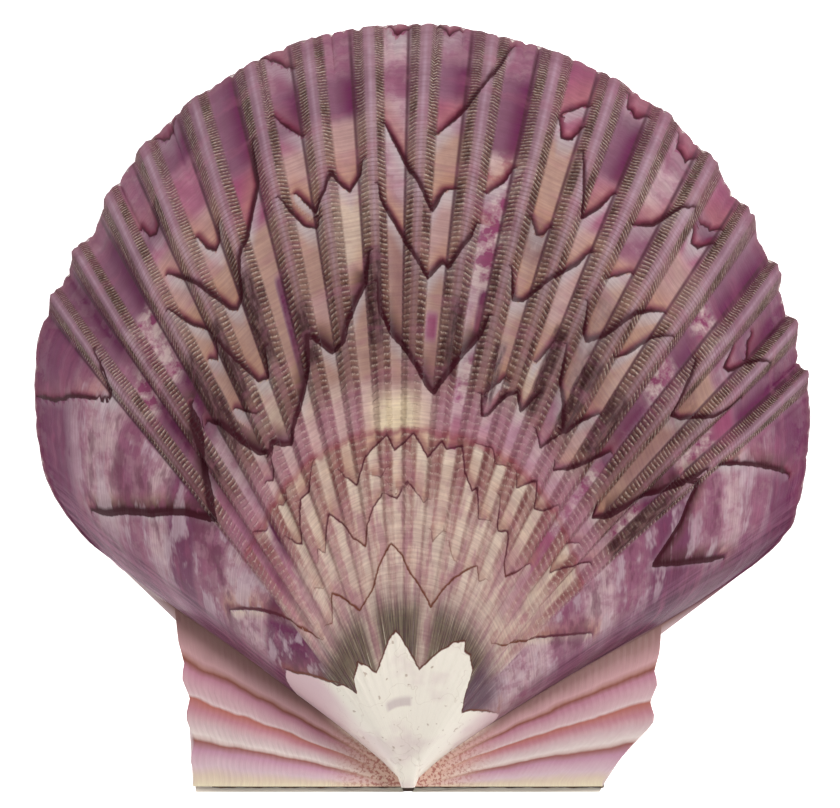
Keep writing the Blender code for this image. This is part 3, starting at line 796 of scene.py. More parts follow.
def upper_relief(angle, growth, count):
    """Fine relief of the upper valve, in millimetres along the normal."""
    away = np.abs(count - np.clip(np.round(count), 0, LAST_RIB))
    side = smooth(0.04, 0.14, away) * (1.0 - smooth(0.26, 0.34, away))
    on_disc = (angle > LEFT_FLANK) & (angle < RIGHT_FLANK)
    phase = scale_phase(growth) % 1.0
    scale = SCALE_HEIGHT * (phase**2 - 0.4) * side * (1.0 - smooth(0.45, 0.65, growth))
    steps = sum(height * (1.0 - smooth(at, at + STEP_WIDTH, growth)) for at, height in GROWTH_STEPS)
    knobs = sum(
        KNOB_HEIGHT * np.exp(-((count - u) / KNOB_COUNTS) ** 2 - ((growth - t) / KNOB_GROWTH) ** 2)
        for u, t in KNOBS
    )
    rim = smooth(0.0, 0.1, growth)
    lines = EAR_LINE_HEIGHT * np.sin(growth * EAR_LINE_PITCH + 0.2 * np.sin(angle * 0.6))
    lines = lines * (1.0 - on_disc)
    return (scale + (steps - 0.25) * 0.6 + knobs) * on_disc * rim + lines * rim


def lower_relief(angle, growth, count):
    """The lower valve is worn smoother: only low growth lines."""
    waves = np.sin(growth * LOWER_LINE_PITCH + 0.3 * np.sin(angle * 0.5))
    return LOWER_LINE_HEIGHT * waves * smooth(0.0, 0.1, growth)


print("scales on a rib:", int(scale_phase(1.0) - scale_phase(0.0)))

# %% [markdown]
# Now the two valves themselves. Each takes the place of its plain solid in the frame and rides on
# the one body there is.

# %% The valves
UPPER_PER_RIB, UPPER_ROWS = 20, 189
LOWER_PER_RIB, LOWER_ROWS = 12, 97
SHARP_FROM = 60.0


def store(mesh, name, values):
    """Keeps one number per vertex on the mesh under a name that the material reads."""
    layer = mesh.attributes.new(name, "FLOAT", "POINT")
    layer.data.foreach_set("value", np.ascontiguousarray(values, dtype=np.float32))


def make_valve(name, valve, per_rib, rows, relief, node):
    """A valve from a slab, shaded smooth, with its fan numbers stored."""
    angles = column_angles(per_rib)
    slab = flat_slab(name, len(angles), rows)
    made = shape_valve(slab, valve, angles, relief)
    deselect()
    slab.select_set(True)
    bpy.context.view_layer.objects.active = slab
    bpy.ops.object.mode_set(mode="EDIT")
    bpy.ops.mesh.select_all(action="SELECT")
    bpy.ops.mesh.normals_make_consistent(inside=False)
    bpy.ops.object.mode_set(mode="OBJECT")
    bpy.ops.object.shade_smooth()
    slab.data.set_sharp_from_angle(angle=radians(SHARP_FROM))
    store(slab.data, "count", made["count"])
    store(slab.data, "growth", made["growth"])
    store(slab.data, "phase", scale_phase(made["growth"]))
    store(slab.data, "angle", made["angle"])
    store(slab.data, "outside", np.where(made["inside"] & (made["growth"] > 0.1), 0.0, 1.0))
    store(slab.data, "disc", np.where(made["on_disc"], 1.0, 0.0))
    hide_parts(node)
    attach(slab, "root")
    triangles = sum(len(face.vertices) - 2 for face in slab.data.polygons)
    print(name, triangles, "triangles")
    return slab, made


upper, upper_made = make_valve(
    "shell_upper", UPPER, UPPER_PER_RIB, UPPER_ROWS, upper_relief, "upper_valve")
lower, _ = make_valve(
    "shell_lower", LOWER, LOWER_PER_RIB, LOWER_ROWS, lower_relief, "lower_valve")

# %% [markdown]
# The upper valve's vertices now get the pattern's numbers: their distances to the dark lines and
# their six pigments. Each is an attribute of the mesh, which the shader reads by its name. So the
# pattern is bound to the shell, and no picture is needed.

# %% The pattern's numbers on the upper valve
signed, nearest, half_width, since, until = measure_lines(
    upper_made["count"], upper_made["growth"], DARK_LINES)
store(upper.data, "line_side", signed)
store(upper.data, "line_gap", nearest)
store(upper.data, "line_half", half_width)
store(upper.data, "since_line", since)
store(upper.data, "until_line", until)
masks = all_masks(upper_made["count"], upper_made["growth"])
for number, pigment in enumerate(PIGMENTS):
    store(upper.data, pigment, masks[:, number])
print("stored the distances and", len(PIGMENTS), "pigments")

# %% [markdown]
# The umbo is the pale worn tip, and its edge is as jagged as the dark lines. It is drawn like
# them, as a row of corners in rib count and growth. Each vertex keeps how far outside the edge it
# lies, and inside the number is negative.

# %% The pale umbo
UMBO_EDGE = (
    (-4.2, 36.0), (-3.0, 34.0), (-2.62, 31.0), (-1.69, 26.0), (-0.9, 22.2), (-0.5, 20.6), (0, 20.1),
    (1.15, 16.6), (1.65, 18.2), (2.9, 19.2), (4.34, 16), (5.34, 17.4), (6.96, 20.5), (8.28, 17.5),
    (9.45, 15.5), (10.5, 17.3), (12.26, 20.9), (13.08, 22.3), (13.39, 21.2), (14.0, 21.6),
    (14.86, 20.6), (15.3, 19.0), (15.9, 17.0), (17.0, 15.6), (18.4, 19.6), (19.8, 24.2),
    (20.5, 26.0),
)
edge_counts = [corner[0] for corner in UMBO_EDGE]
edge_growths = [corner[1] for corner in UMBO_EDGE]
edge_here = np.interp(upper_made["count"], edge_counts, edge_growths)
store(upper.data, "umbo_side", (upper_made["growth"] * 100.0 - edge_here) * REACH_SCALE)
print("the umbo's edge has", len(UMBO_EDGE), "corners")

# %% [markdown]
# Colours are written as they look on a screen, from 0 to 255, and turned into the linear numbers
# that a shader needs. A material as rich as this one takes hundreds of nodes of only a few kinds,
# so a small class adds and wires each kind in one line.

# %% Material helpers
def screen(red, green, blue):
    """A screen colour as linear RGBA."""
    linear = []
    for value in (red, green, blue):
        share = value / 255.0
        linear.append(share / 12.92 if value < 10 else ((share + 0.055) / 1.055) ** 2.4)
    return (*linear, 1.0)


class Nodes:
    """Short ways to add and wire nodes in one tree."""

    def __init__(self, tree):
        self.tree = tree

    def add(self, kind, **settings):
        node = self.tree.nodes.new(kind)
        for key, value in settings.items():
            setattr(node, key, value)
        return node

    def put(self, socket, value):
        if isinstance(value, bpy.types.NodeSocket):
            self.tree.links.new(value, socket)
        else:
            socket.default_value = value

    def attribute(self, name):
        return self.add("ShaderNodeAttribute", attribute_name=name).outputs["Fac"]

    def math(self, operation, first, second=0.0):
        node = self.add("ShaderNodeMath", operation=operation)
        self.put(node.inputs[0], first)
        self.put(node.inputs[1], second)
        return node.outputs[0]

    def ramp(self, value, start, end, low=0.0, high=1.0):
        node = self.add("ShaderNodeMapRange", interpolation_type="SMOOTHSTEP")
        for name, put in (("Value", value), ("From Min", start), ("From Max", end),
                          ("To Min", low), ("To Max", high)):
            self.put(node.inputs[name], put)
        return node.outputs["Result"]

    def mix(self, share, first, second):
        node = self.add("ShaderNodeMix", data_type="RGBA", clamp_factor=True)
        self.put(node.inputs["Factor"], share)
        self.put(node.inputs[6], first)
        self.put(node.inputs[7], second)
        return node.outputs[2]

    def noise(self, vector, scale, detail=3.0, roughness=0.5):
        node = self.add("ShaderNodeTexNoise")
        self.put(node.inputs["Vector"], vector)
        self.put(node.inputs["Scale"], scale)
        self.put(node.inputs["Detail"], detail)
        self.put(node.inputs["Roughness"], roughness)
        return node.outputs["Fac"]

    def colours(self, value, stops):
        node = self.add("ShaderNodeValToRGB")
        ramp = node.color_ramp
        for position, colour in stops[1:-1]:
            ramp.elements.new(position)
        ordered = sorted(ramp.elements, key=lambda e: e.position)
        for element, (position, colour) in zip(ordered, stops):
            element.position = position
            element.color = colour
        self.put(node.inputs["Fac"], value)
        return node.outputs["Color"]

    def fan_vector(self, across, along):
        """A place in fan coordinates, in ribs and in growth, so a pattern follows the shell."""
        node = self.add("ShaderNodeCombineXYZ")
        self.put(node.inputs["X"], self.math("MULTIPLY", self.attribute("count"), across))
        self.put(node.inputs["Y"], self.math("MULTIPLY", self.attribute("growth"), along))
        return node.outputs["Vector"]


def new_group(name, inputs, outputs):
    """A shader node group with named sockets, and its two end nodes."""
    tree = bpy.data.node_groups.new(name, "ShaderNodeTree")
    for label, kind in inputs:
        tree.interface.new_socket(label, in_out="INPUT", socket_type=kind)
    for label, kind in outputs:
        tree.interface.new_socket(label, in_out="OUTPUT", socket_type=kind)
    return Nodes(tree), tree.nodes.new("NodeGroupInput"), tree.nodes.new("NodeGroupOutput")


def use_group(nodes, tree, **values):
    """Places a group in a material and sets or wires its inputs."""
    node = nodes.add("ShaderNodeGroup", node_tree=tree)
    for name, value in values.items():
        nodes.put(node.inputs[name.replace("_", " ")], value)
    return node


print("cream in linear numbers:", [round(c, 3) for c in screen(215, 190, 165)])

# %% [markdown]
# Both valves have scales and fine growth lines, so those are node groups. The first makes saw teeth out
# of the stored phase: each scale rises slowly to its lip and then drops off. Its first output marks the
# lips, broken into dashes, where the upper valve's material paints highlights.

# %% Group: scales
FLOAT = "NodeSocketFloat"

nodes, start, end = new_group("rib_scales", [("Wander", FLOAT)], [("Glint", FLOAT), ("Height", FLOAT)])
slow = nodes.noise(nodes.fan_vector(1.0, 9.0), 1.0, 2.0)
quick = nodes.noise(nodes.fan_vector(6.0, 60.0), 1.0, 2.0)
wander = nodes.math("ADD", nodes.math("MULTIPLY", slow, 3.0), nodes.math("MULTIPLY", quick, 0.5))
wander = nodes.math("MULTIPLY", wander, start.outputs["Wander"])
phase = nodes.math("FRACT", nodes.math("ADD", nodes.attribute("phase"), wander))
dash = nodes.noise(nodes.fan_vector(22.0, 230.0), 1.0, 2.0)
lip_glint = nodes.math("MULTIPLY", nodes.ramp(phase, 0.45, 0.80), nodes.ramp(phase, 0.86, 1.0, 1.0, 0.0))
nodes.put(end.inputs["Glint"], nodes.math("MULTIPLY", lip_glint, nodes.ramp(dash, 0.36, 0.64, 0.10, 1.30)))
rise = nodes.ramp(phase, 0.0, 0.80)
drop = nodes.ramp(phase, 0.86, 1.0, 1.0, 0.0)
nodes.put(end.inputs["Height"], nodes.math("MULTIPLY", rise, drop))
scales_group = nodes.tree
print("rib_scales has", len(scales_group.nodes), "nodes")

# %% [markdown]
# Growth lines are thin and long. A noise that is slow across the fan and quick along the growth
# gives them, and the group's input says how many there are from beak to margin.

# %% Group: fine growth lines
nodes, start, end = new_group("growth_lines", [("Count", FLOAT)], [("Line", FLOAT), ("Height", FLOAT)])
stretched = nodes.add("ShaderNodeCombineXYZ")
nodes.put(stretched.inputs["X"], nodes.math("MULTIPLY", nodes.attribute("count"), 0.35))
counted = nodes.math("MULTIPLY", nodes.attribute("growth"), start.outputs["Count"])
nodes.put(stretched.inputs["Y"], counted)
streak = nodes.noise(stretched.outputs["Vector"], 1.0, 3.0, 0.6)
nodes.put(end.inputs["Line"], nodes.ramp(streak, 0.35, 0.65))
nodes.put(end.inputs["Height"], streak)
lines_group = nodes.tree
print("growth_lines has", len(lines_group.nodes), "nodes")

# %% [markdown]
# The third group is the mottling that any shell has: soft clouds, and flecks six times finer. It
# reads Object coordinates, so it is the same size on all parts of the valve.

# %% Group: mottling
FLECK_FINENESS = 6.0

nodes, start, end = new_group("mottle", [("Size", FLOAT)], [("Cloud", FLOAT), ("Fleck", FLOAT)])
place = nodes.add("ShaderNodeTexCoord").outputs["Object"]
cloud = nodes.noise(place, start.outputs["Size"], 4.0, 0.6)
nodes.put(end.inputs["Cloud"], nodes.ramp(cloud, 0.35, 0.65))
fine = nodes.math("MULTIPLY", start.outputs["Size"], FLECK_FINENESS)
nodes.put(end.inputs["Fleck"], nodes.ramp(nodes.noise(place, fine, 2.0, 0.6), 0.58, 0.72))
mottle_group = nodes.tree
print("mottle has", len(mottle_group.nodes), "nodes")

# %% [markdown]
# The upper valve's material lays its colours one over the other, as they lie on the shell. The
# pale ground comes first, then the pigments of the troughs. Each pigment is a mask that the mesh
# carries, so one mix node a pigment is enough, and the masks fade into each other by themselves.
# The ramps at the two outer ribs tell the ribbed part from the smooth flanks.

# %% The ground and the pigments
PALE = screen(198, 166, 176)
CREAM = screen(228, 204, 180)
TAN = screen(188, 148, 128)
PINK = screen(176, 92, 126)
PURPLE = screen(106, 34, 80)

patterned = bpy.data.materials.new("patterned_shell")
patterned.use_nodes = True
nodes = Nodes(patterned.node_tree)
shader = patterned.node_tree.nodes["Principled BSDF"]

growth = nodes.attribute("growth")
count = nodes.attribute("count")
away = nodes.math("PINGPONG", count, 0.5)
flank_left = nodes.ramp(count, -0.42, -0.30)
flank_right = nodes.ramp(count, LAST_RIB + 0.30, LAST_RIB + 0.42, 1.0, 0.0)
ribbed = nodes.math("MULTIPLY", nodes.math("MULTIPLY", flank_left, flank_right), nodes.attribute("disc"))

colour = nodes.mix(nodes.attribute("cream"), PALE, CREAM)
colour = nodes.mix(nodes.attribute("tan"), colour, TAN)
colour = nodes.mix(nodes.attribute("pink"), colour, PINK)
# Painted shade: the purple is weaker towards the left side of each trough and deeper towards its right
# side, where the next rib shades it.
within = nodes.math("FRACT", count)
trough_shade_tilt = nodes.ramp(within, 0.32, 0.68, -0.18, 0.12)
trough_shade_tilt = nodes.math("ADD", 1.0, nodes.math("MULTIPLY", trough_shade_tilt, ribbed))
colour = nodes.mix(nodes.math("MULTIPLY", nodes.attribute("purple"), trough_shade_tilt), colour, PURPLE)
print("with the pigments:", len(patterned.node_tree.nodes), "nodes")

# %% [markdown]
# Some stretches are marbled: white and rose flecks lie side by side in them. One noise makes
# both, its high places white and its low ones rose, so the two never overlap. It reads Object
# coordinates, because on the fan's own numbers the flecks would be drawn out towards the margin.

# %% The marbling
FLECK_WHITE = screen(218, 192, 188)
FLECK_ROSE = screen(142, 54, 100)

object_place = nodes.add("ShaderNodeTexCoord").outputs["Object"]
marble = nodes.noise(object_place, 560.0, 3.0, 0.6)
white = nodes.math("MULTIPLY", nodes.ramp(marble, 0.48, 0.60, 0.0, 0.9), nodes.attribute("marble"))
colour = nodes.mix(white, colour, FLECK_WHITE)
rose = nodes.math("MULTIPLY", nodes.ramp(marble, 0.48, 0.40, 0.0, 0.9), nodes.attribute("marble"))
colour = nodes.mix(rose, colour, FLECK_ROSE)
print("with the marbling:", len(patterned.node_tree.nodes), "nodes")

# %% [markdown]
# Within each zigzag cell the colour runs from one line to the next: tan where the shell has just
# passed a line, paler before the line that follows, and stained wine red along the line itself.
# A picture could be painted for that, but the stored distances to the line behind and to the
# line ahead say the same at any size.

# %% The shading between two lines
WARM_TAN = screen(196, 142, 116)
EARLY_CREAM, COOL_GREY = screen(230, 212, 192), screen(206, 196, 198)
HALO_TAN, HALO_ROSE = screen(194, 144, 112), screen(184, 108, 130)
STAIN_BROWN, STAIN_WINE, STAIN_DARK = screen(156, 92, 58), screen(112, 24, 56), screen(58, 28, 26)

since = nodes.attribute("since_line")
until = nodes.attribute("until_line")
share = nodes.math("DIVIDE", since, nodes.math("ADD", nodes.math("ADD", since, until), 0.01))
spared = nodes.ramp(nodes.attribute("purple"), 0.0, 0.8, 1.0, 0.25)
not_far = nodes.ramp(since, 3.0, 8.0, 1.0, 0.0)
warm = nodes.math("MULTIPLY", nodes.ramp(share, 0.02, 0.45, 0.55, 0.0), not_far)
warm = nodes.math("MULTIPLY", warm, spared)
colour = nodes.mix(warm, colour, WARM_TAN)
grey = nodes.math("MULTIPLY", nodes.ramp(until, 0.2, 3.2, 0.75, 0.0), nodes.ramp(share, 0.4, 0.7))
grey = nodes.math("MULTIPLY", grey, spared)
grey_tint = nodes.mix(nodes.ramp(growth, 0.45, 0.60), EARLY_CREAM, COOL_GREY)
colour = nodes.mix(grey, colour, grey_tint)
line_side = nodes.attribute("line_side")
line_gap = nodes.attribute("line_gap")
outward_side = nodes.ramp(line_side, -0.02, 0.05)
ripe = nodes.ramp(growth, 0.38, 0.55, 0.42, 1.0)
outward_side = nodes.math("MULTIPLY", outward_side, ripe)
glow = nodes.math("MULTIPLY", nodes.ramp(line_gap, 0.4, 2.6, 0.40, 0.0), outward_side)
halo_tint = nodes.mix(nodes.ramp(growth, 0.78, 0.90), HALO_TAN, HALO_ROSE)
colour = nodes.mix(nodes.math("MULTIPLY", glow, spared), colour, halo_tint)
glow = nodes.math("MULTIPLY", nodes.ramp(line_gap, 0.25, 0.95, 0.85, 0.0), outward_side)
glow_tint = nodes.mix(nodes.ramp(growth, 0.34, 0.42), STAIN_BROWN, STAIN_WINE)
colour = nodes.mix(glow, colour, glow_tint)
thick = nodes.ramp(nodes.attribute("line_half"), 0.24, 0.30)
thick_side = nodes.math("MULTIPLY", outward_side, thick)
glow = nodes.math("MULTIPLY", nodes.ramp(line_gap, 0.3, 2.4, 0.9, 0.0), thick_side)
colour = nodes.mix(glow, colour, STAIN_DARK)
trough_colour = colour
print("with the shading:", len(patterned.node_tree.nodes), "nodes")

# %% [markdown]
# A rib has a smooth crest and two sides full of scales, each painted with a highlight on its lip and a
# shadow in the gap behind.
# The distance from the crest, in rib counts, tells the crest from the sides and the foot. Towards
# the beak the scales were worn away on the real shell, so there the ribs take a plain young tint.

# %% The ribs and their scales
SCALE_GAP_SHADOW, SCALE_LIP_HIGHLIGHT = screen(66, 42, 36), screen(212, 192, 176)
SCALE_BODY, SCALE_OUTER = screen(128, 90, 74), screen(128, 99, 81)
SCALE_SOOT = screen(60, 38, 32)
CREST, CREST_INNER = screen(160, 128, 138), screen(122, 82, 76)
CREST_HIGHLIGHT, CREST_GAP_SHADOW = screen(208, 178, 196), screen(96, 62, 60)
YOUNG_INNER, YOUNG_OUTER = screen(196, 150, 146), screen(150, 94, 90)
YOUNG_LIP_HIGHLIGHT, YOUNG_TROUGH = screen(226, 200, 186), screen(220, 194, 182)

scales = use_group(nodes, scales_group, Wander=0.9)
crest_tint = nodes.mix(nodes.ramp(growth, 0.60, 0.92), CREST_INNER, CREST)
crest_colour = nodes.mix(nodes.ramp(growth, 0.6, 0.95, 0.75, 0.6), trough_colour, crest_tint)
# Painted highlight: a pale lilac streak along the middle of each crest, from growth 0.5 outwards.
crest_highlight = nodes.math("MULTIPLY", nodes.ramp(away, 0.0, 0.06, 0.30, 0.0), nodes.ramp(growth, 0.5, 0.8))
crest_colour = nodes.mix(crest_highlight, crest_colour, CREST_HIGHLIGHT)
broken = nodes.noise(nodes.fan_vector(16.0, 170.0), 1.0, 2.0)
broken = nodes.math("MULTIPLY", nodes.math("SUBTRACT", broken, 0.5), 1.3)
raised = nodes.ramp(nodes.math("ADD", scales.outputs["Height"], broken), 0.05, 0.40)
scale_body = nodes.mix(nodes.ramp(growth, 0.70, 0.92), SCALE_BODY, SCALE_OUTER)
# Painted shadow in the gap behind each scale, and a painted highlight on each lip.
side_colour = nodes.mix(raised, SCALE_GAP_SHADOW, scale_body)
side_colour = nodes.mix(scales.outputs["Glint"], side_colour, SCALE_LIP_HIGHLIGHT)
worn = nodes.noise(nodes.fan_vector(3.0, 16.0), 1.0, 3.0)
side_colour = nodes.mix(nodes.ramp(worn, 0.36, 0.66, 0.05, 0.45), side_colour, trough_colour)
side_colour = nodes.mix(nodes.ramp(worn, 0.34, 0.46, 0.5, 0.0), side_colour, SCALE_SOOT)
# Painted shadow: the dark gaps between scales cross the crest too, between growth 0.4 and 0.93.
crossing_shadow = nodes.math("MULTIPLY", nodes.ramp(growth, 0.93, 0.80), nodes.ramp(growth, 0.40, 0.60))
crossing_shadow = nodes.math("MULTIPLY", nodes.math("SUBTRACT", 1.0, raised), crossing_shadow)
crest_colour = nodes.mix(nodes.math("MULTIPLY", crossing_shadow, 0.45), crest_colour, CREST_GAP_SHADOW)
early = nodes.ramp(growth, 0.44, 0.60, 0.88, 0.0)
young = nodes.mix(nodes.ramp(growth, 0.32, 0.44), YOUNG_INNER, YOUNG_OUTER)
young = nodes.mix(nodes.ramp(worn, 0.40, 0.60, 0.0, 0.35), young, trough_colour)
# The young ribs get fainter painted highlights on their lips too.
young = nodes.mix(nodes.math("MULTIPLY", scales.outputs["Glint"], 0.40), young, YOUNG_LIP_HIGHLIGHT)
side_colour = nodes.mix(early, side_colour, young)
crest_colour = nodes.mix(early, crest_colour, young)
rib_colour = nodes.mix(nodes.ramp(away, 0.07, 0.13), crest_colour, side_colour)
softness = nodes.ramp(growth, 0.35, 0.65, 0.43, 0.335)
narrows = nodes.ramp(growth, 0.40, 0.50, 0.065, 0.0)
narrows = nodes.math("ADD", nodes.ramp(growth, 0.60, 0.95, 0.0, 0.045), narrows)
rib_edge = nodes.math("ADD", away, narrows)
rib_share = nodes.math("MULTIPLY", nodes.ramp(rib_edge, 0.265, softness, 1.0, 0.0), ribbed)
paling = nodes.math("MULTIPLY", nodes.ramp(growth, 0.42, 0.30, 0.0, 0.55), ribbed)
trough_colour = nodes.mix(paling, trough_colour, YOUNG_TROUGH)
rib_strength = nodes.math("MULTIPLY", rib_share, nodes.ramp(growth, 0.26, 0.42, 0.65, 1.0))
colour = nodes.mix(rib_strength, trough_colour, rib_colour)
print("with the ribs:", len(patterned.node_tree.nodes), "nodes")

# %% [markdown]
# Growth paused on the real shell when it was about half its size, and left a red line there and a lilac
# band outside it. Just outside the pause, at the middle of the crown, a pale cream painted highlight
# stands for the light pooled there. They follow the growth, with a slow noise added so that they don't
# look drawn with compasses. The umber patches are stored masks, broken up by a noise that follows the
# fan.

# %% Umber patches, the pause in growth and a painted highlight
UMBER = screen(54, 30, 26)
PAUSE_LILAC, PAUSE_RED = screen(188, 132, 156), screen(150, 64, 78)
CROWN_HIGHLIGHT = screen(244, 226, 188)
HIGHLIGHT_COUNT = 7.5

umber_wander = nodes.ramp(nodes.noise(nodes.fan_vector(9.0, 50.0), 1.0, 3.0), 0.35, 0.60, 0.45, 0.95)
umber = nodes.math("MULTIPLY", nodes.attribute("umber"), umber_wander)
colour = nodes.mix(umber, colour, UMBER)
pause_wander = nodes.math("MULTIPLY", nodes.noise(nodes.fan_vector(2.5, 0.0), 1.0, 2.0), 0.02)
paused = nodes.math("ADD", growth, pause_wander)
after_pause = nodes.ramp(paused, 0.472, 0.482)
lilac_band = nodes.math("MULTIPLY", after_pause, nodes.ramp(paused, 0.51, 0.56, 0.42, 0.0))
colour = nodes.mix(nodes.math("MULTIPLY", lilac_band, ribbed), colour, PAUSE_LILAC)
red_line = nodes.ramp(paused, 0.476, 0.486, 0.55, 0.0)
red_line = nodes.math("MULTIPLY", nodes.ramp(paused, 0.468, 0.474), red_line)
colour = nodes.mix(nodes.math("MULTIPLY", red_line, ribbed), colour, PAUSE_RED)
# Painted highlight: a cream pool of light on the crown, just outside the pause.
crown_highlight = nodes.math("ABSOLUTE", nodes.math("SUBTRACT", count, HIGHLIGHT_COUNT))
crown_highlight = nodes.ramp(crown_highlight, 0.3, 1.5, 0.85, 0.0)
crown_highlight = nodes.math("MULTIPLY", crown_highlight, after_pause)
crown_highlight = nodes.math("MULTIPLY", crown_highlight, nodes.ramp(paused, 0.50, 0.545, 1.0, 0.0))
colour = nodes.mix(crown_highlight, colour, CROWN_HIGHLIGHT)
print("with the pause:", len(patterned.node_tree.nodes), "nodes")

# %% [markdown]
# The ribbed part is browner outside the pause. Along the left foot of each rib lies a painted shadow, a
# dark seam where the rib shades the trough beside it. It is made from the rib count like the other
# colours, so it stays where it is whatever the lamps do.

# %% The brown zone and the painted shadow at the ribs' feet
DUSK_BROWN, FOOT_SHADE = screen(70, 38, 34), screen(70, 32, 44)

dusk = nodes.math("MULTIPLY", nodes.ramp(growth, 0.50, 0.56), nodes.ramp(growth, 0.62, 0.82, 0.20, 0.0))
colour = nodes.mix(nodes.math("MULTIPLY", dusk, ribbed), colour, DUSK_BROWN)
# Painted shadow along the left foot of each rib.
foot_shadow = nodes.math("MULTIPLY", nodes.ramp(within, 0.64, 0.69), nodes.ramp(within, 0.70, 0.76, 1.0, 0.0))
foot_shadow = nodes.math("MULTIPLY", foot_shadow, ribbed)
foot_shadow = nodes.math("MULTIPLY", foot_shadow, nodes.ramp(growth, 0.42, 0.75, 0.0, 0.85))
colour = nodes.mix(foot_shadow, colour, FOOT_SHADE)
print("with the feet:", len(patterned.node_tree.nodes), "nodes")

# %% [markdown]
# The flanks have no ribs. Their colour lies in fields along the growth lines, lilac beside wine
# red, and a darker seam runs down their outer edge. A noise in fan coordinates that changes
# slowly across and quickly along the growth gives such fields, and a second one that is drawn out
# the other way streaks the seam.

# %% The smooth flanks
SEAM_DARK, SEAM_PALE, EDGE_PURPLE = screen(84, 36, 66), screen(146, 92, 120), screen(72, 26, 56)
STREAK_ROSE = screen(134, 62, 98)
FIELD_LILAC, FIELD_WINE = screen(212, 188, 196), screen(96, 44, 66)

angle = nodes.attribute("angle")
streaks = nodes.noise(nodes.fan_vector(1.6, 46.0), 1.0, 3.0, 0.6)
left_seam = nodes.ramp(angle, -48.0, -51.5, 0.0, 1.0)
right_seam = nodes.ramp(angle, 52.5, 56.0, 0.0, 1.0)
seam_band = nodes.math("MULTIPLY", nodes.math("MAXIMUM", left_seam, right_seam), nodes.attribute("disc"))
seam_band = nodes.math("MULTIPLY", seam_band, nodes.ramp(growth, 0.2, 0.4, 0.2, 0.85))
seam_streaks = nodes.noise(nodes.fan_vector(9.0, 5.0), 1.0, 3.0, 0.6)
seam_tint = nodes.mix(nodes.ramp(seam_streaks, 0.38, 0.62), SEAM_DARK, SEAM_PALE)
right_edge = nodes.math("MULTIPLY", nodes.ramp(angle, 53.5, 57.5), nodes.ramp(growth, 0.45, 0.70))
seam_tint = nodes.mix(nodes.math("MULTIPLY", right_edge, 0.7), seam_tint, EDGE_PURPLE)
colour = nodes.mix(seam_band, colour, seam_tint)
smooth_flank = nodes.math("SUBTRACT", nodes.attribute("disc"), ribbed)
streak_share = nodes.math("MULTIPLY", nodes.ramp(streaks, 0.52, 0.66, 0.0, 0.45), smooth_flank)
colour = nodes.mix(streak_share, colour, STREAK_ROSE)
field = nodes.noise(nodes.fan_vector(0.45, 15.0), 1.0, 4.0, 0.65)
field_reach = nodes.math("MULTIPLY", smooth_flank, nodes.ramp(growth, 0.95, 0.84))
field_reach = nodes.math("MULTIPLY", field_reach, nodes.math("SUBTRACT", 1.0, seam_band))
lilac_field = nodes.math("MULTIPLY", nodes.ramp(field, 0.50, 0.60, 0.0, 0.62), field_reach)
colour = nodes.mix(lilac_field, colour, FIELD_LILAC)
wine_field = nodes.math("MULTIPLY", nodes.ramp(field, 0.47, 0.38, 0.0, 0.55), field_reach)
colour = nodes.mix(wine_field, colour, FIELD_WINE)
print("with the flanks:", len(patterned.node_tree.nodes), "nodes")

# %% [markdown]
# No real shell is evenly tinted. Pink bands cross the whole disc, and the young part near the
# umbo is washed with cream and mauve. Both are noise in fan coordinates, so they bend with the
# shell, and they stay faint.

# %% Bands and washes
BAND_PINK = screen(176, 104, 130)
WASH_CREAM, WASH_MAUVE = screen(232, 214, 194), screen(176, 122, 134)

bands = nodes.noise(nodes.fan_vector(0.7, 34.0), 1.0, 3.0, 0.6)
banded = nodes.math("MULTIPLY", nodes.ramp(bands, 0.52, 0.66, 0.0, 0.24), nodes.attribute("disc"))
colour = nodes.mix(banded, colour, BAND_PINK)
wash = nodes.noise(nodes.fan_vector(1.6, 13.0), 1.0, 3.0, 0.6)
is_young = nodes.ramp(growth, 0.46, 0.34)
washed = nodes.math("MULTIPLY", nodes.ramp(wash, 0.52, 0.64, 0.0, 0.40), is_young)
colour = nodes.mix(nodes.math("MULTIPLY", washed, ribbed), colour, WASH_CREAM)
washed = nodes.math("MULTIPLY", nodes.ramp(wash, 0.50, 0.38, 0.0, 0.60), is_young)
colour = nodes.mix(nodes.math("MULTIPLY", washed, ribbed), colour, WASH_MAUVE)
print("with the washes:", len(patterned.node_tree.nodes), "nodes")

# %% [markdown]
# Round the pale umbo the shell is stained dark, in streaks that run out along the fan and end
# raggedly. The zone starts at the umbo's edge, which the mesh carries as a signed distance, and
# ends at a growth that a noise shifts. It leaves two gaps where the real stain has them.

# %% The stained zone round the umbo
UMBO_DARK, UMBO_GREY = screen(62, 52, 46), screen(126, 112, 92)
ZONE_PALE, ZONE_MAUVE = screen(196, 186, 166), screen(150, 112, 120)
ZONE_SLATE, ZONE_PURPLE = screen(98, 70, 90), screen(84, 34, 66)
GAP_COUNTS = (4.9, 9.5)

ragged = nodes.math("SUBTRACT", nodes.noise(object_place, 1000.0, 2.0), 0.5)
umbo = nodes.math("ADD", nodes.attribute("umbo_side"), nodes.math("MULTIPLY", ragged, 0.9))
radial = nodes.noise(nodes.fan_vector(6.0, 9.0), 1.0, 4.0, 0.6)
on_flank = nodes.math("MAXIMUM", nodes.ramp(count, -0.6, -2.0), nodes.ramp(count, 17.5, 19.5))
left_gap = nodes.math("ABSOLUTE", nodes.math("SUBTRACT", count, GAP_COUNTS[0]))
left_gap = nodes.ramp(left_gap, 0.1, 0.9, 0.25, 1.0)
right_gap = nodes.math("ABSOLUTE", nodes.math("SUBTRACT", count, GAP_COUNTS[1]))
right_gap = nodes.ramp(right_gap, 0.1, 0.9, 0.25, 1.0)
zone_growth = nodes.math("ADD", growth, nodes.math("MULTIPLY", radial, 0.05))
zone = nodes.ramp(zone_growth, 0.238, 0.312, 1.0, 0.0)
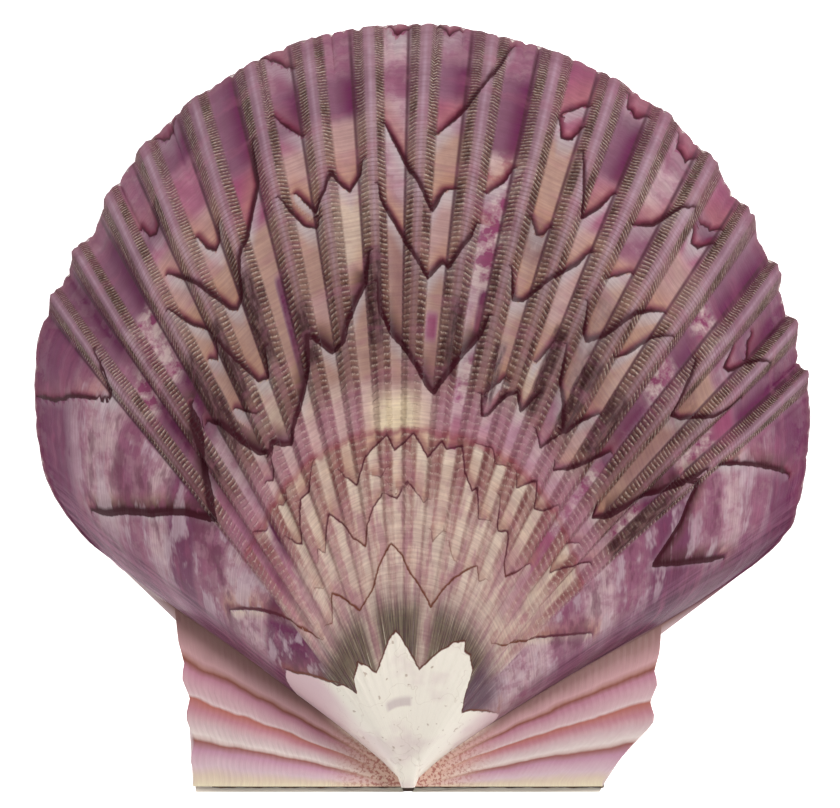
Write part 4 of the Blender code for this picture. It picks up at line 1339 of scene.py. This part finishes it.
zone = nodes.math("MULTIPLY", nodes.ramp(umbo, -0.1, 0.3), zone)
zone = nodes.math("MULTIPLY", zone, nodes.math("MULTIPLY", left_gap, right_gap))
zone = nodes.math("MULTIPLY", zone, nodes.ramp(radial, 0.34, 0.48, 0.65, 1.0))
zone = nodes.math("MULTIPLY", zone, nodes.ramp(count, 18.0, 19.5, 1.0, 0.2))
zone_tint = nodes.mix(nodes.ramp(radial, 0.42, 0.56), UMBO_DARK, UMBO_GREY)
zone_tint = nodes.mix(nodes.ramp(radial, 0.59, 0.68), zone_tint, ZONE_PALE)
zone_tint = nodes.mix(nodes.ramp(zone_growth, 0.255, 0.290, 0.0, 0.75), zone_tint, ZONE_MAUVE)
zone_tint = nodes.mix(nodes.ramp(count, 15.0, 15.8, 0.0, 0.8), zone_tint, ZONE_SLATE)
zone_tint = nodes.mix(on_flank, zone_tint, ZONE_PURPLE)
colour = nodes.mix(zone, colour, zone_tint)
print("with the stain:", len(patterned.node_tree.nodes), "nodes")

# %% [markdown]
# Fine growth lines cross everything, the margin has a thin pale rim and a purple tinge inside
# it, and a faint mottling breaks up what is left of plain colour. The lines and the mottling are
# the groups from above, because the lower valve has them too.

# %% Fine lines, rim and mottling
LINE_MAUVE, RIM_PALE, RIM_PURPLE = screen(112, 66, 84), screen(206, 164, 164), screen(116, 52, 82)
MOTTLE_WINE = screen(88, 36, 50)

lines = use_group(nodes, lines_group, Count=300.0)
colour = nodes.mix(nodes.math("MULTIPLY", lines.outputs["Line"], 0.24), colour, LINE_MAUVE)
rim_wander = nodes.math("MULTIPLY", nodes.noise(nodes.fan_vector(3.0, 0.0), 1.0, 2.0), 0.012)
rim = nodes.ramp(nodes.math("ADD", growth, rim_wander), 0.996, 1.004)
rim = nodes.math("MULTIPLY", rim, nodes.attribute("disc"))
colour = nodes.mix(nodes.math("MULTIPLY", rim, 0.20), colour, RIM_PALE)
rim_shade = nodes.math("MULTIPLY", nodes.ramp(growth, 0.975, 0.99, 0.0, 0.30), nodes.attribute("disc"))
colour = nodes.mix(rim_shade, colour, RIM_PURPLE)
mottle = use_group(nodes, mottle_group, Size=500.0)
colour = nodes.mix(nodes.math("MULTIPLY", mottle.outputs["Cloud"], 0.16), colour, MOTTLE_WINE)
print("with the fine lines:", len(patterned.node_tree.nodes), "nodes")

# %% [markdown]
# The umbo is the oldest part, worn down to the cream layer under the pigment. It has stains, dark
# dots, hair cracks where a noise crosses its middle value, one grey scar, and a brown line round
# its edge. It covers all the colours laid so far.

# %% The umbo
UMBO_CREAM, UMBO_STAIN, UMBO_CRACK = screen(250, 242, 228), screen(224, 200, 200), screen(168, 138, 116)
UMBO_SCAR, UMBO_PINK, UMBO_LINE = screen(190, 166, 172), screen(226, 196, 200), screen(86, 38, 22)

crack = nodes.math("SUBTRACT", nodes.noise(object_place, 210.0, 3.0), 0.5)
crack = nodes.ramp(nodes.math("ABSOLUTE", crack), 0.0, 0.008, 0.22, 0.0)
stain = nodes.ramp(nodes.noise(object_place, 160.0, 3.0), 0.50, 0.66, 0.0, 0.55)
dot = nodes.ramp(nodes.noise(object_place, 1300.0, 1.0), 0.70, 0.76, 0.0, 0.6)
umbo_tint = nodes.mix(stain, UMBO_CREAM, UMBO_STAIN)
umbo_tint = nodes.mix(nodes.math("MAXIMUM", crack, dot), umbo_tint, UMBO_CRACK)
scar = nodes.math("MULTIPLY", nodes.ramp(count, 4.0, 4.8), nodes.ramp(count, 8.4, 9.0, 1.0, 0.0))
scar = nodes.math("MULTIPLY", scar, nodes.ramp(growth, 0.102, 0.106))
scar = nodes.math("MULTIPLY", scar, nodes.ramp(growth, 0.112, 0.120, 0.55, 0.0))
umbo_tint = nodes.mix(scar, umbo_tint, UMBO_SCAR)
flushed = nodes.math("MULTIPLY", on_flank, nodes.ramp(growth, 0.08, 0.26))
umbo_tint = nodes.mix(flushed, umbo_tint, UMBO_PINK)
umbo_share = nodes.ramp(umbo, -0.25, 0.05, 0.95, 0.0)
colour = nodes.mix(umbo_share, colour, umbo_tint)
umbo_line = nodes.ramp(nodes.math("ABSOLUTE", nodes.math("ADD", umbo, -0.10)), 0.08, 0.24, 0.85, 0.0)
umbo_line = nodes.math("MULTIPLY", umbo_line, nodes.math("SUBTRACT", 1.0, on_flank))
colour = nodes.mix(umbo_line, colour, UMBO_LINE)
print("with the umbo:", len(patterned.node_tree.nodes), "nodes")

# %% [markdown]
# The dark lines come last, on top of everything. The signed distance gives each a sharp inner
# edge and a softer outer one, as on the shell, and a fine noise keeps them from looking ruled.
# They are brown near the umbo and almost black further out.

# %% The dark lines
DARK_LINE, LINE_BROWN, LINE_WINE = screen(58, 2, 20), screen(104, 48, 26), screen(84, 22, 40)

wander = nodes.math("SUBTRACT", nodes.noise(object_place, 1500.0, 2.0), 0.5)
side = nodes.math("ADD", line_side, nodes.math("MULTIPLY", wander, 0.30))
line_half = nodes.attribute("line_half")
below = nodes.math("SUBTRACT", nodes.math("MULTIPLY", side, -1.0), line_half)
soft_edge = nodes.ramp(growth, 0.42, 0.56, 0.10, 0.35)
dark = nodes.math("MULTIPLY", nodes.ramp(below, -0.08, 0.08, 1.0, 0.0),
                  nodes.ramp(nodes.math("SUBTRACT", side, line_half), -0.15, soft_edge, 1.0, 0.0))
close = nodes.math("SUBTRACT", line_gap, line_half)
dark = nodes.math("MULTIPLY", dark, nodes.ramp(close, 0.30, 0.50, 1.0, 0.0))
line_tint = nodes.mix(nodes.ramp(growth, 0.30, 0.38), LINE_BROWN, LINE_WINE)
line_tint = nodes.mix(nodes.ramp(growth, 0.44, 0.56), line_tint, DARK_LINE)
colour = nodes.mix(nodes.math("MULTIPLY", dark, 0.95), colour, line_tint)
print("with the dark lines:", len(patterned.node_tree.nodes), "nodes")

# %% [markdown]
# The ears have no scales: their ridges run out from the beak, pale on top and brown between, and fine
# growth lines cross them. All that changes with the share of the way from the disc's edge to the hinge,
# so one colour ramp holds the whole ear. The ramp starts brown-grey at the disc's edge, a painted shade
# where the steep disc shades the ear, and near the beak a pale painted highlight lies just beside that
# edge.

# %% The ears and the inside
EAR_LINE, EAR_START, EAR_HIGHLIGHT = screen(176, 116, 132), screen(226, 192, 172), screen(240, 220, 204)
EAR_SPECK, INSIDE_PINK = screen(168, 92, 84), screen(214, 190, 192)

left_node = nodes.add("ShaderNodeMapRange")
right_node = nodes.add("ShaderNodeMapRange")
for node, seam, far_end in ((left_node, LEFT_FLANK, -90.0), (right_node, RIGHT_FLANK, 90.0)):
    nodes.put(node.inputs["Value"], angle)
    nodes.put(node.inputs["From Min"], seam)
    nodes.put(node.inputs["From Max"], far_end)
inside_share = nodes.math("MAXIMUM", left_node.outputs["Result"], right_node.outputs["Result"])
# The first two stops are painted shade along the disc's edge.
EAR_TINTS = (
    (0.00, screen(146, 112, 104)), (0.07, screen(168, 128, 124)), (0.17, screen(214, 168, 170)),
    (0.20, screen(190, 140, 132)), (0.22, screen(140, 80, 62)), (0.26, screen(190, 130, 148)),
    (0.38, screen(218, 182, 186)), (0.41, screen(228, 202, 202)), (0.43, screen(180, 108, 92)),
    (0.49, screen(190, 128, 138)), (0.58, screen(214, 184, 186)), (0.66, screen(238, 222, 216)),
    (0.69, screen(216, 190, 182)), (0.71, screen(150, 92, 80)), (0.77, screen(194, 146, 166)),
    (0.87, screen(222, 194, 200)), (0.93, screen(230, 208, 186)), (1.00, screen(242, 228, 194)),
)
ear_wander = nodes.math("SUBTRACT", nodes.noise(object_place, 300.0, 2.0), 0.5)
ear_wander = nodes.math("MULTIPLY", ear_wander, 0.06)
ear_colour = nodes.colours(nodes.math("ADD", inside_share, ear_wander), EAR_TINTS)
ear_lines = use_group(nodes, lines_group, Count=220.0)
ear_colour = nodes.mix(nodes.math("MULTIPLY", ear_lines.outputs["Line"], 0.14), ear_colour, EAR_LINE)
specks = nodes.ramp(nodes.noise(object_place, 2600.0, 2.0, 0.7), 0.48, 0.60)
specks = nodes.math("MULTIPLY", specks, nodes.ramp(growth, 0.10, 0.42, 0.8, 0.0))
ear_colour = nodes.mix(nodes.ramp(growth, 0.08, 0.42, 0.85, 0.0), ear_colour, EAR_START)
# Painted highlight: a pale strip on the ear just beside the disc's edge, near the beak.
seam_highlight = nodes.ramp(inside_share, 0.02, 0.10, 1.0, 0.0)
seam_highlight = nodes.math("MULTIPLY", seam_highlight, nodes.ramp(growth, 0.25, 0.40, 0.8, 0.0))
ear_colour = nodes.mix(seam_highlight, ear_colour, EAR_HIGHLIGHT)
ear_colour = nodes.mix(specks, ear_colour, EAR_SPECK)
colour = nodes.mix(nodes.attribute("disc"), ear_colour, colour)
colour = nodes.mix(nodes.attribute("outside"), INSIDE_PINK, colour)
nodes.put(shader.inputs["Base Color"], colour)
print("with the ears:", len(patterned.node_tree.nodes), "nodes")

# %% [markdown]
# A dry shell is satin: rougher on the scaly sides of the ribs, smoother on the crests and on the umbo.
# The scales that are finer than the mesh get their relief from a bump, which is fed by the same numbers
# as their colour, so the bump's relief lies where the painted highlights on the lips and the painted
# shadows in the gaps are.

# %% The upper valve's gloss and fine relief
BUMP_STRENGTH, BUMP_DEPTH = 0.85, 0.00018
UMBO_POLISH = 0.65

polish = nodes.math("MULTIPLY", mottle.outputs["Fleck"], 0.12)
polish = nodes.math("ADD", polish, 0.40)
roughness = nodes.math("ADD", nodes.math("MULTIPLY", rib_share, 0.10), polish)
nodes.put(shader.inputs["Roughness"], roughness)
shader.inputs["Specular IOR Level"].default_value = 0.20

side_mask = nodes.math("MULTIPLY", nodes.ramp(away, 0.06, 0.13), rib_share)
side_mask = nodes.math("MULTIPLY", side_mask, nodes.ramp(growth, 0.30, 0.48, 0.25, 1.0))
scale_height = nodes.math("MULTIPLY", scales.outputs["Height"], side_mask)
line_height = nodes.math("MULTIPLY", lines.outputs["Height"], 0.25)
height = nodes.math("ADD", scale_height, line_height)
height = nodes.math("ADD", height, nodes.math("MULTIPLY", mottle.outputs["Cloud"], 0.08))
bump = nodes.add("ShaderNodeBump")
strength = nodes.math("SUBTRACT", BUMP_STRENGTH, nodes.math("MULTIPLY", umbo_share, UMBO_POLISH))
nodes.put(bump.inputs["Strength"], strength)
bump.inputs["Distance"].default_value = BUMP_DEPTH
nodes.put(bump.inputs["Height"], height)
nodes.put(shader.inputs["Normal"], bump.outputs["Normal"])
upper.data.materials.clear()
upper.data.materials.append(patterned)
print("patterned_shell has", len(patterned.node_tree.nodes), "nodes")

# %% [markdown]
# The lower valve lies on the ground, where the real animal keeps it paler: dull cream and pink,
# with the same growth lines and scales. Its colours run from the beak to the margin by growth,
# and the three groups do the rest. The photograph hides it, so these colours are a guess.

# %% The lower valve's material
LOWER_BEAK, LOWER_MARGIN = screen(184, 160, 144), screen(150, 98, 114)
LOWER_LINE, LOWER_GROOVE = screen(172, 138, 132), screen(146, 96, 112)
LOWER_CLOUD, LOWER_RIM = screen(186, 166, 154), screen(130, 76, 100)
# The ears and the inside are near white. This is partly their own pale cream and partly painted light,
# so that the lower valve's strip beside the hinge, which lies in the upper valve's shade, still looks
# pale.
LOWER_EAR_CREAM_LIT, LOWER_INSIDE_CREAM_LIT = screen(250, 242, 222), screen(250, 240, 224)
LOWER_BUMP_STRENGTH, LOWER_BUMP_DEPTH = 0.6, 0.00015

pale = bpy.data.materials.new("pale_shell")
pale.use_nodes = True
nodes = Nodes(pale.node_tree)
shader = pale.node_tree.nodes["Principled BSDF"]
growth = nodes.attribute("growth")
away = nodes.math("PINGPONG", nodes.attribute("count"), 0.5)
groove = nodes.math("MULTIPLY", nodes.ramp(away, 0.30, 0.12), nodes.attribute("disc"))
colour = nodes.mix(nodes.ramp(growth, 0.1, 0.9), LOWER_BEAK, LOWER_MARGIN)
lines = use_group(nodes, lines_group, Count=60.0)
colour = nodes.mix(nodes.math("MULTIPLY", lines.outputs["Line"], 0.5), colour, LOWER_LINE)
colour = nodes.mix(nodes.math("MULTIPLY", groove, 0.45), colour, LOWER_GROOVE)
mottle = use_group(nodes, mottle_group, Size=260.0)
colour = nodes.mix(nodes.math("MULTIPLY", mottle.outputs["Cloud"], 0.25), colour, LOWER_CLOUD)
rim = nodes.math("MULTIPLY", nodes.ramp(growth, 0.90, 0.98, 0.0, 0.8), nodes.attribute("disc"))
colour = nodes.mix(rim, colour, LOWER_RIM)
colour = nodes.mix(nodes.attribute("disc"), LOWER_EAR_CREAM_LIT, colour)
colour = nodes.mix(nodes.attribute("outside"), LOWER_INSIDE_CREAM_LIT, colour)
nodes.put(shader.inputs["Base Color"], colour)
nodes.put(shader.inputs["Roughness"], nodes.ramp(mottle.outputs["Cloud"], 0.0, 1.0, 0.42, 0.55))
scales = use_group(nodes, scales_group, Wander=1.2)
height = nodes.math("MULTIPLY", scales.outputs["Height"], nodes.ramp(away, 0.32, 0.45))
height = nodes.math("ADD", height, nodes.math("MULTIPLY", lines.outputs["Height"], 0.6))
bump = nodes.add("ShaderNodeBump")
bump.inputs["Strength"].default_value = LOWER_BUMP_STRENGTH
bump.inputs["Distance"].default_value = LOWER_BUMP_DEPTH
nodes.put(bump.inputs["Height"], height)
nodes.put(shader.inputs["Normal"], bump.outputs["Normal"])
lower.data.materials.clear()
lower.data.materials.append(pale)
print("pale_shell has", len(pale.node_tree.nodes), "nodes")

# %% [markdown]
# The ligament is a strip of dark horn that dried in the hinge. It starts as a cube stretched to
# the node's box, gets many cuts along its length and soft edges, and is then nudged so that it
# looks shrunk and split in layers.

# %% The ligament
LIGAMENT_CUTS = 90
LIGAMENT_SOFT = 0.10 * MM
SHRUNK_TO = 0.90
SMOOTH_BELOW = 40.0

deselect()
low, high = (np.array(corner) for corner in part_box("hinge_ligament"))
bpy.ops.mesh.primitive_cube_add(size=1.0, location=tuple((low + high) / 2.0))
ligament = bpy.context.object
ligament.name = "hinge_strip"
ligament.scale = tuple(high - low)
bpy.ops.object.transform_apply(location=True, rotation=True, scale=True)
bpy.ops.object.mode_set(mode="EDIT")
bpy.ops.mesh.select_all(action="SELECT")
bpy.ops.mesh.bevel(offset=LIGAMENT_SOFT, segments=2)
bpy.ops.object.mode_set(mode="OBJECT")
for number in range(1, LIGAMENT_CUTS):
    at = low[0] + (high[0] - low[0]) * number / LIGAMENT_CUTS
    bpy.ops.object.mode_set(mode="EDIT")
    bpy.ops.mesh.select_all(action="SELECT")
    bpy.ops.mesh.bisect(plane_co=(at, 0.0, 0.0), plane_no=(1.0, 0.0, 0.0))
    bpy.ops.object.mode_set(mode="OBJECT")
co = np.empty(len(ligament.data.vertices) * 3)
ligament.data.vertices.foreach_get("co", co)
co = co.reshape(-1, 3)
middle = (low + high) / 2.0
along = (co[:, 0] - middle[0]) / MM
shrink = SHRUNK_TO + 0.06 * np.sin(along * 1.7) + 0.04 * np.sin(along * 4.3 + 1.0)
co[:, 1:] = middle[1:] + (co[:, 1:] - middle[1:]) * shrink[:, None]
ligament.data.vertices.foreach_set("co", co.ravel())
ligament.data.update()
bpy.ops.object.shade_smooth_by_angle(angle=radians(SMOOTH_BELOW))
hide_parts("hinge_ligament")
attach(ligament, "root")
print("hinge_strip", len(ligament.data.polygons), "faces")

# %% [markdown]
# Dried horn is fibrous: dark brown with paler threads that run along the strip. A Mapping node
# squeezes the noise's long axis, so its blobs are drawn out into threads, and the same noise
# feeds the colour, the gloss and the bump.

# %% The ligament's material
HORN_DARK, HORN_PALE = screen(52, 32, 22), screen(112, 76, 48)
FIBRE_STRETCH, FIBRE_SCALE = 0.12, 9000.0
HORN_BUMP_STRENGTH, HORN_BUMP_DEPTH = 0.6, 0.0001

horn = bpy.data.materials.new("dark_ligament")
horn.use_nodes = True
nodes = Nodes(horn.node_tree)
shader = horn.node_tree.nodes["Principled BSDF"]
place = nodes.add("ShaderNodeTexCoord").outputs["Object"]
stretch = nodes.add("ShaderNodeMapping")
stretch.inputs["Scale"].default_value = (FIBRE_STRETCH, 1.0, 1.0)
nodes.put(stretch.inputs["Vector"], place)
fibre = nodes.noise(stretch.outputs["Vector"], FIBRE_SCALE, 4.0, 0.6)
horn_colour = nodes.mix(nodes.ramp(fibre, 0.35, 0.7), HORN_DARK, HORN_PALE)
nodes.put(shader.inputs["Base Color"], horn_colour)
nodes.put(shader.inputs["Roughness"], nodes.ramp(fibre, 0.3, 0.7, 0.45, 0.7))
bump = nodes.add("ShaderNodeBump")
bump.inputs["Strength"].default_value = HORN_BUMP_STRENGTH
bump.inputs["Distance"].default_value = HORN_BUMP_DEPTH
nodes.put(bump.inputs["Height"], fibre)
nodes.put(shader.inputs["Normal"], bump.outputs["Normal"])
ligament.data.materials.clear()
ligament.data.materials.append(horn)
print("dark_ligament has", len(horn.node_tree.nodes), "nodes")

# %% [markdown]
# At the end nothing is left selected. The dressed shell should keep the imported model's box, because a
# part that grows when it is dressed no longer fits where its solid did.

# %% The end
deselect()
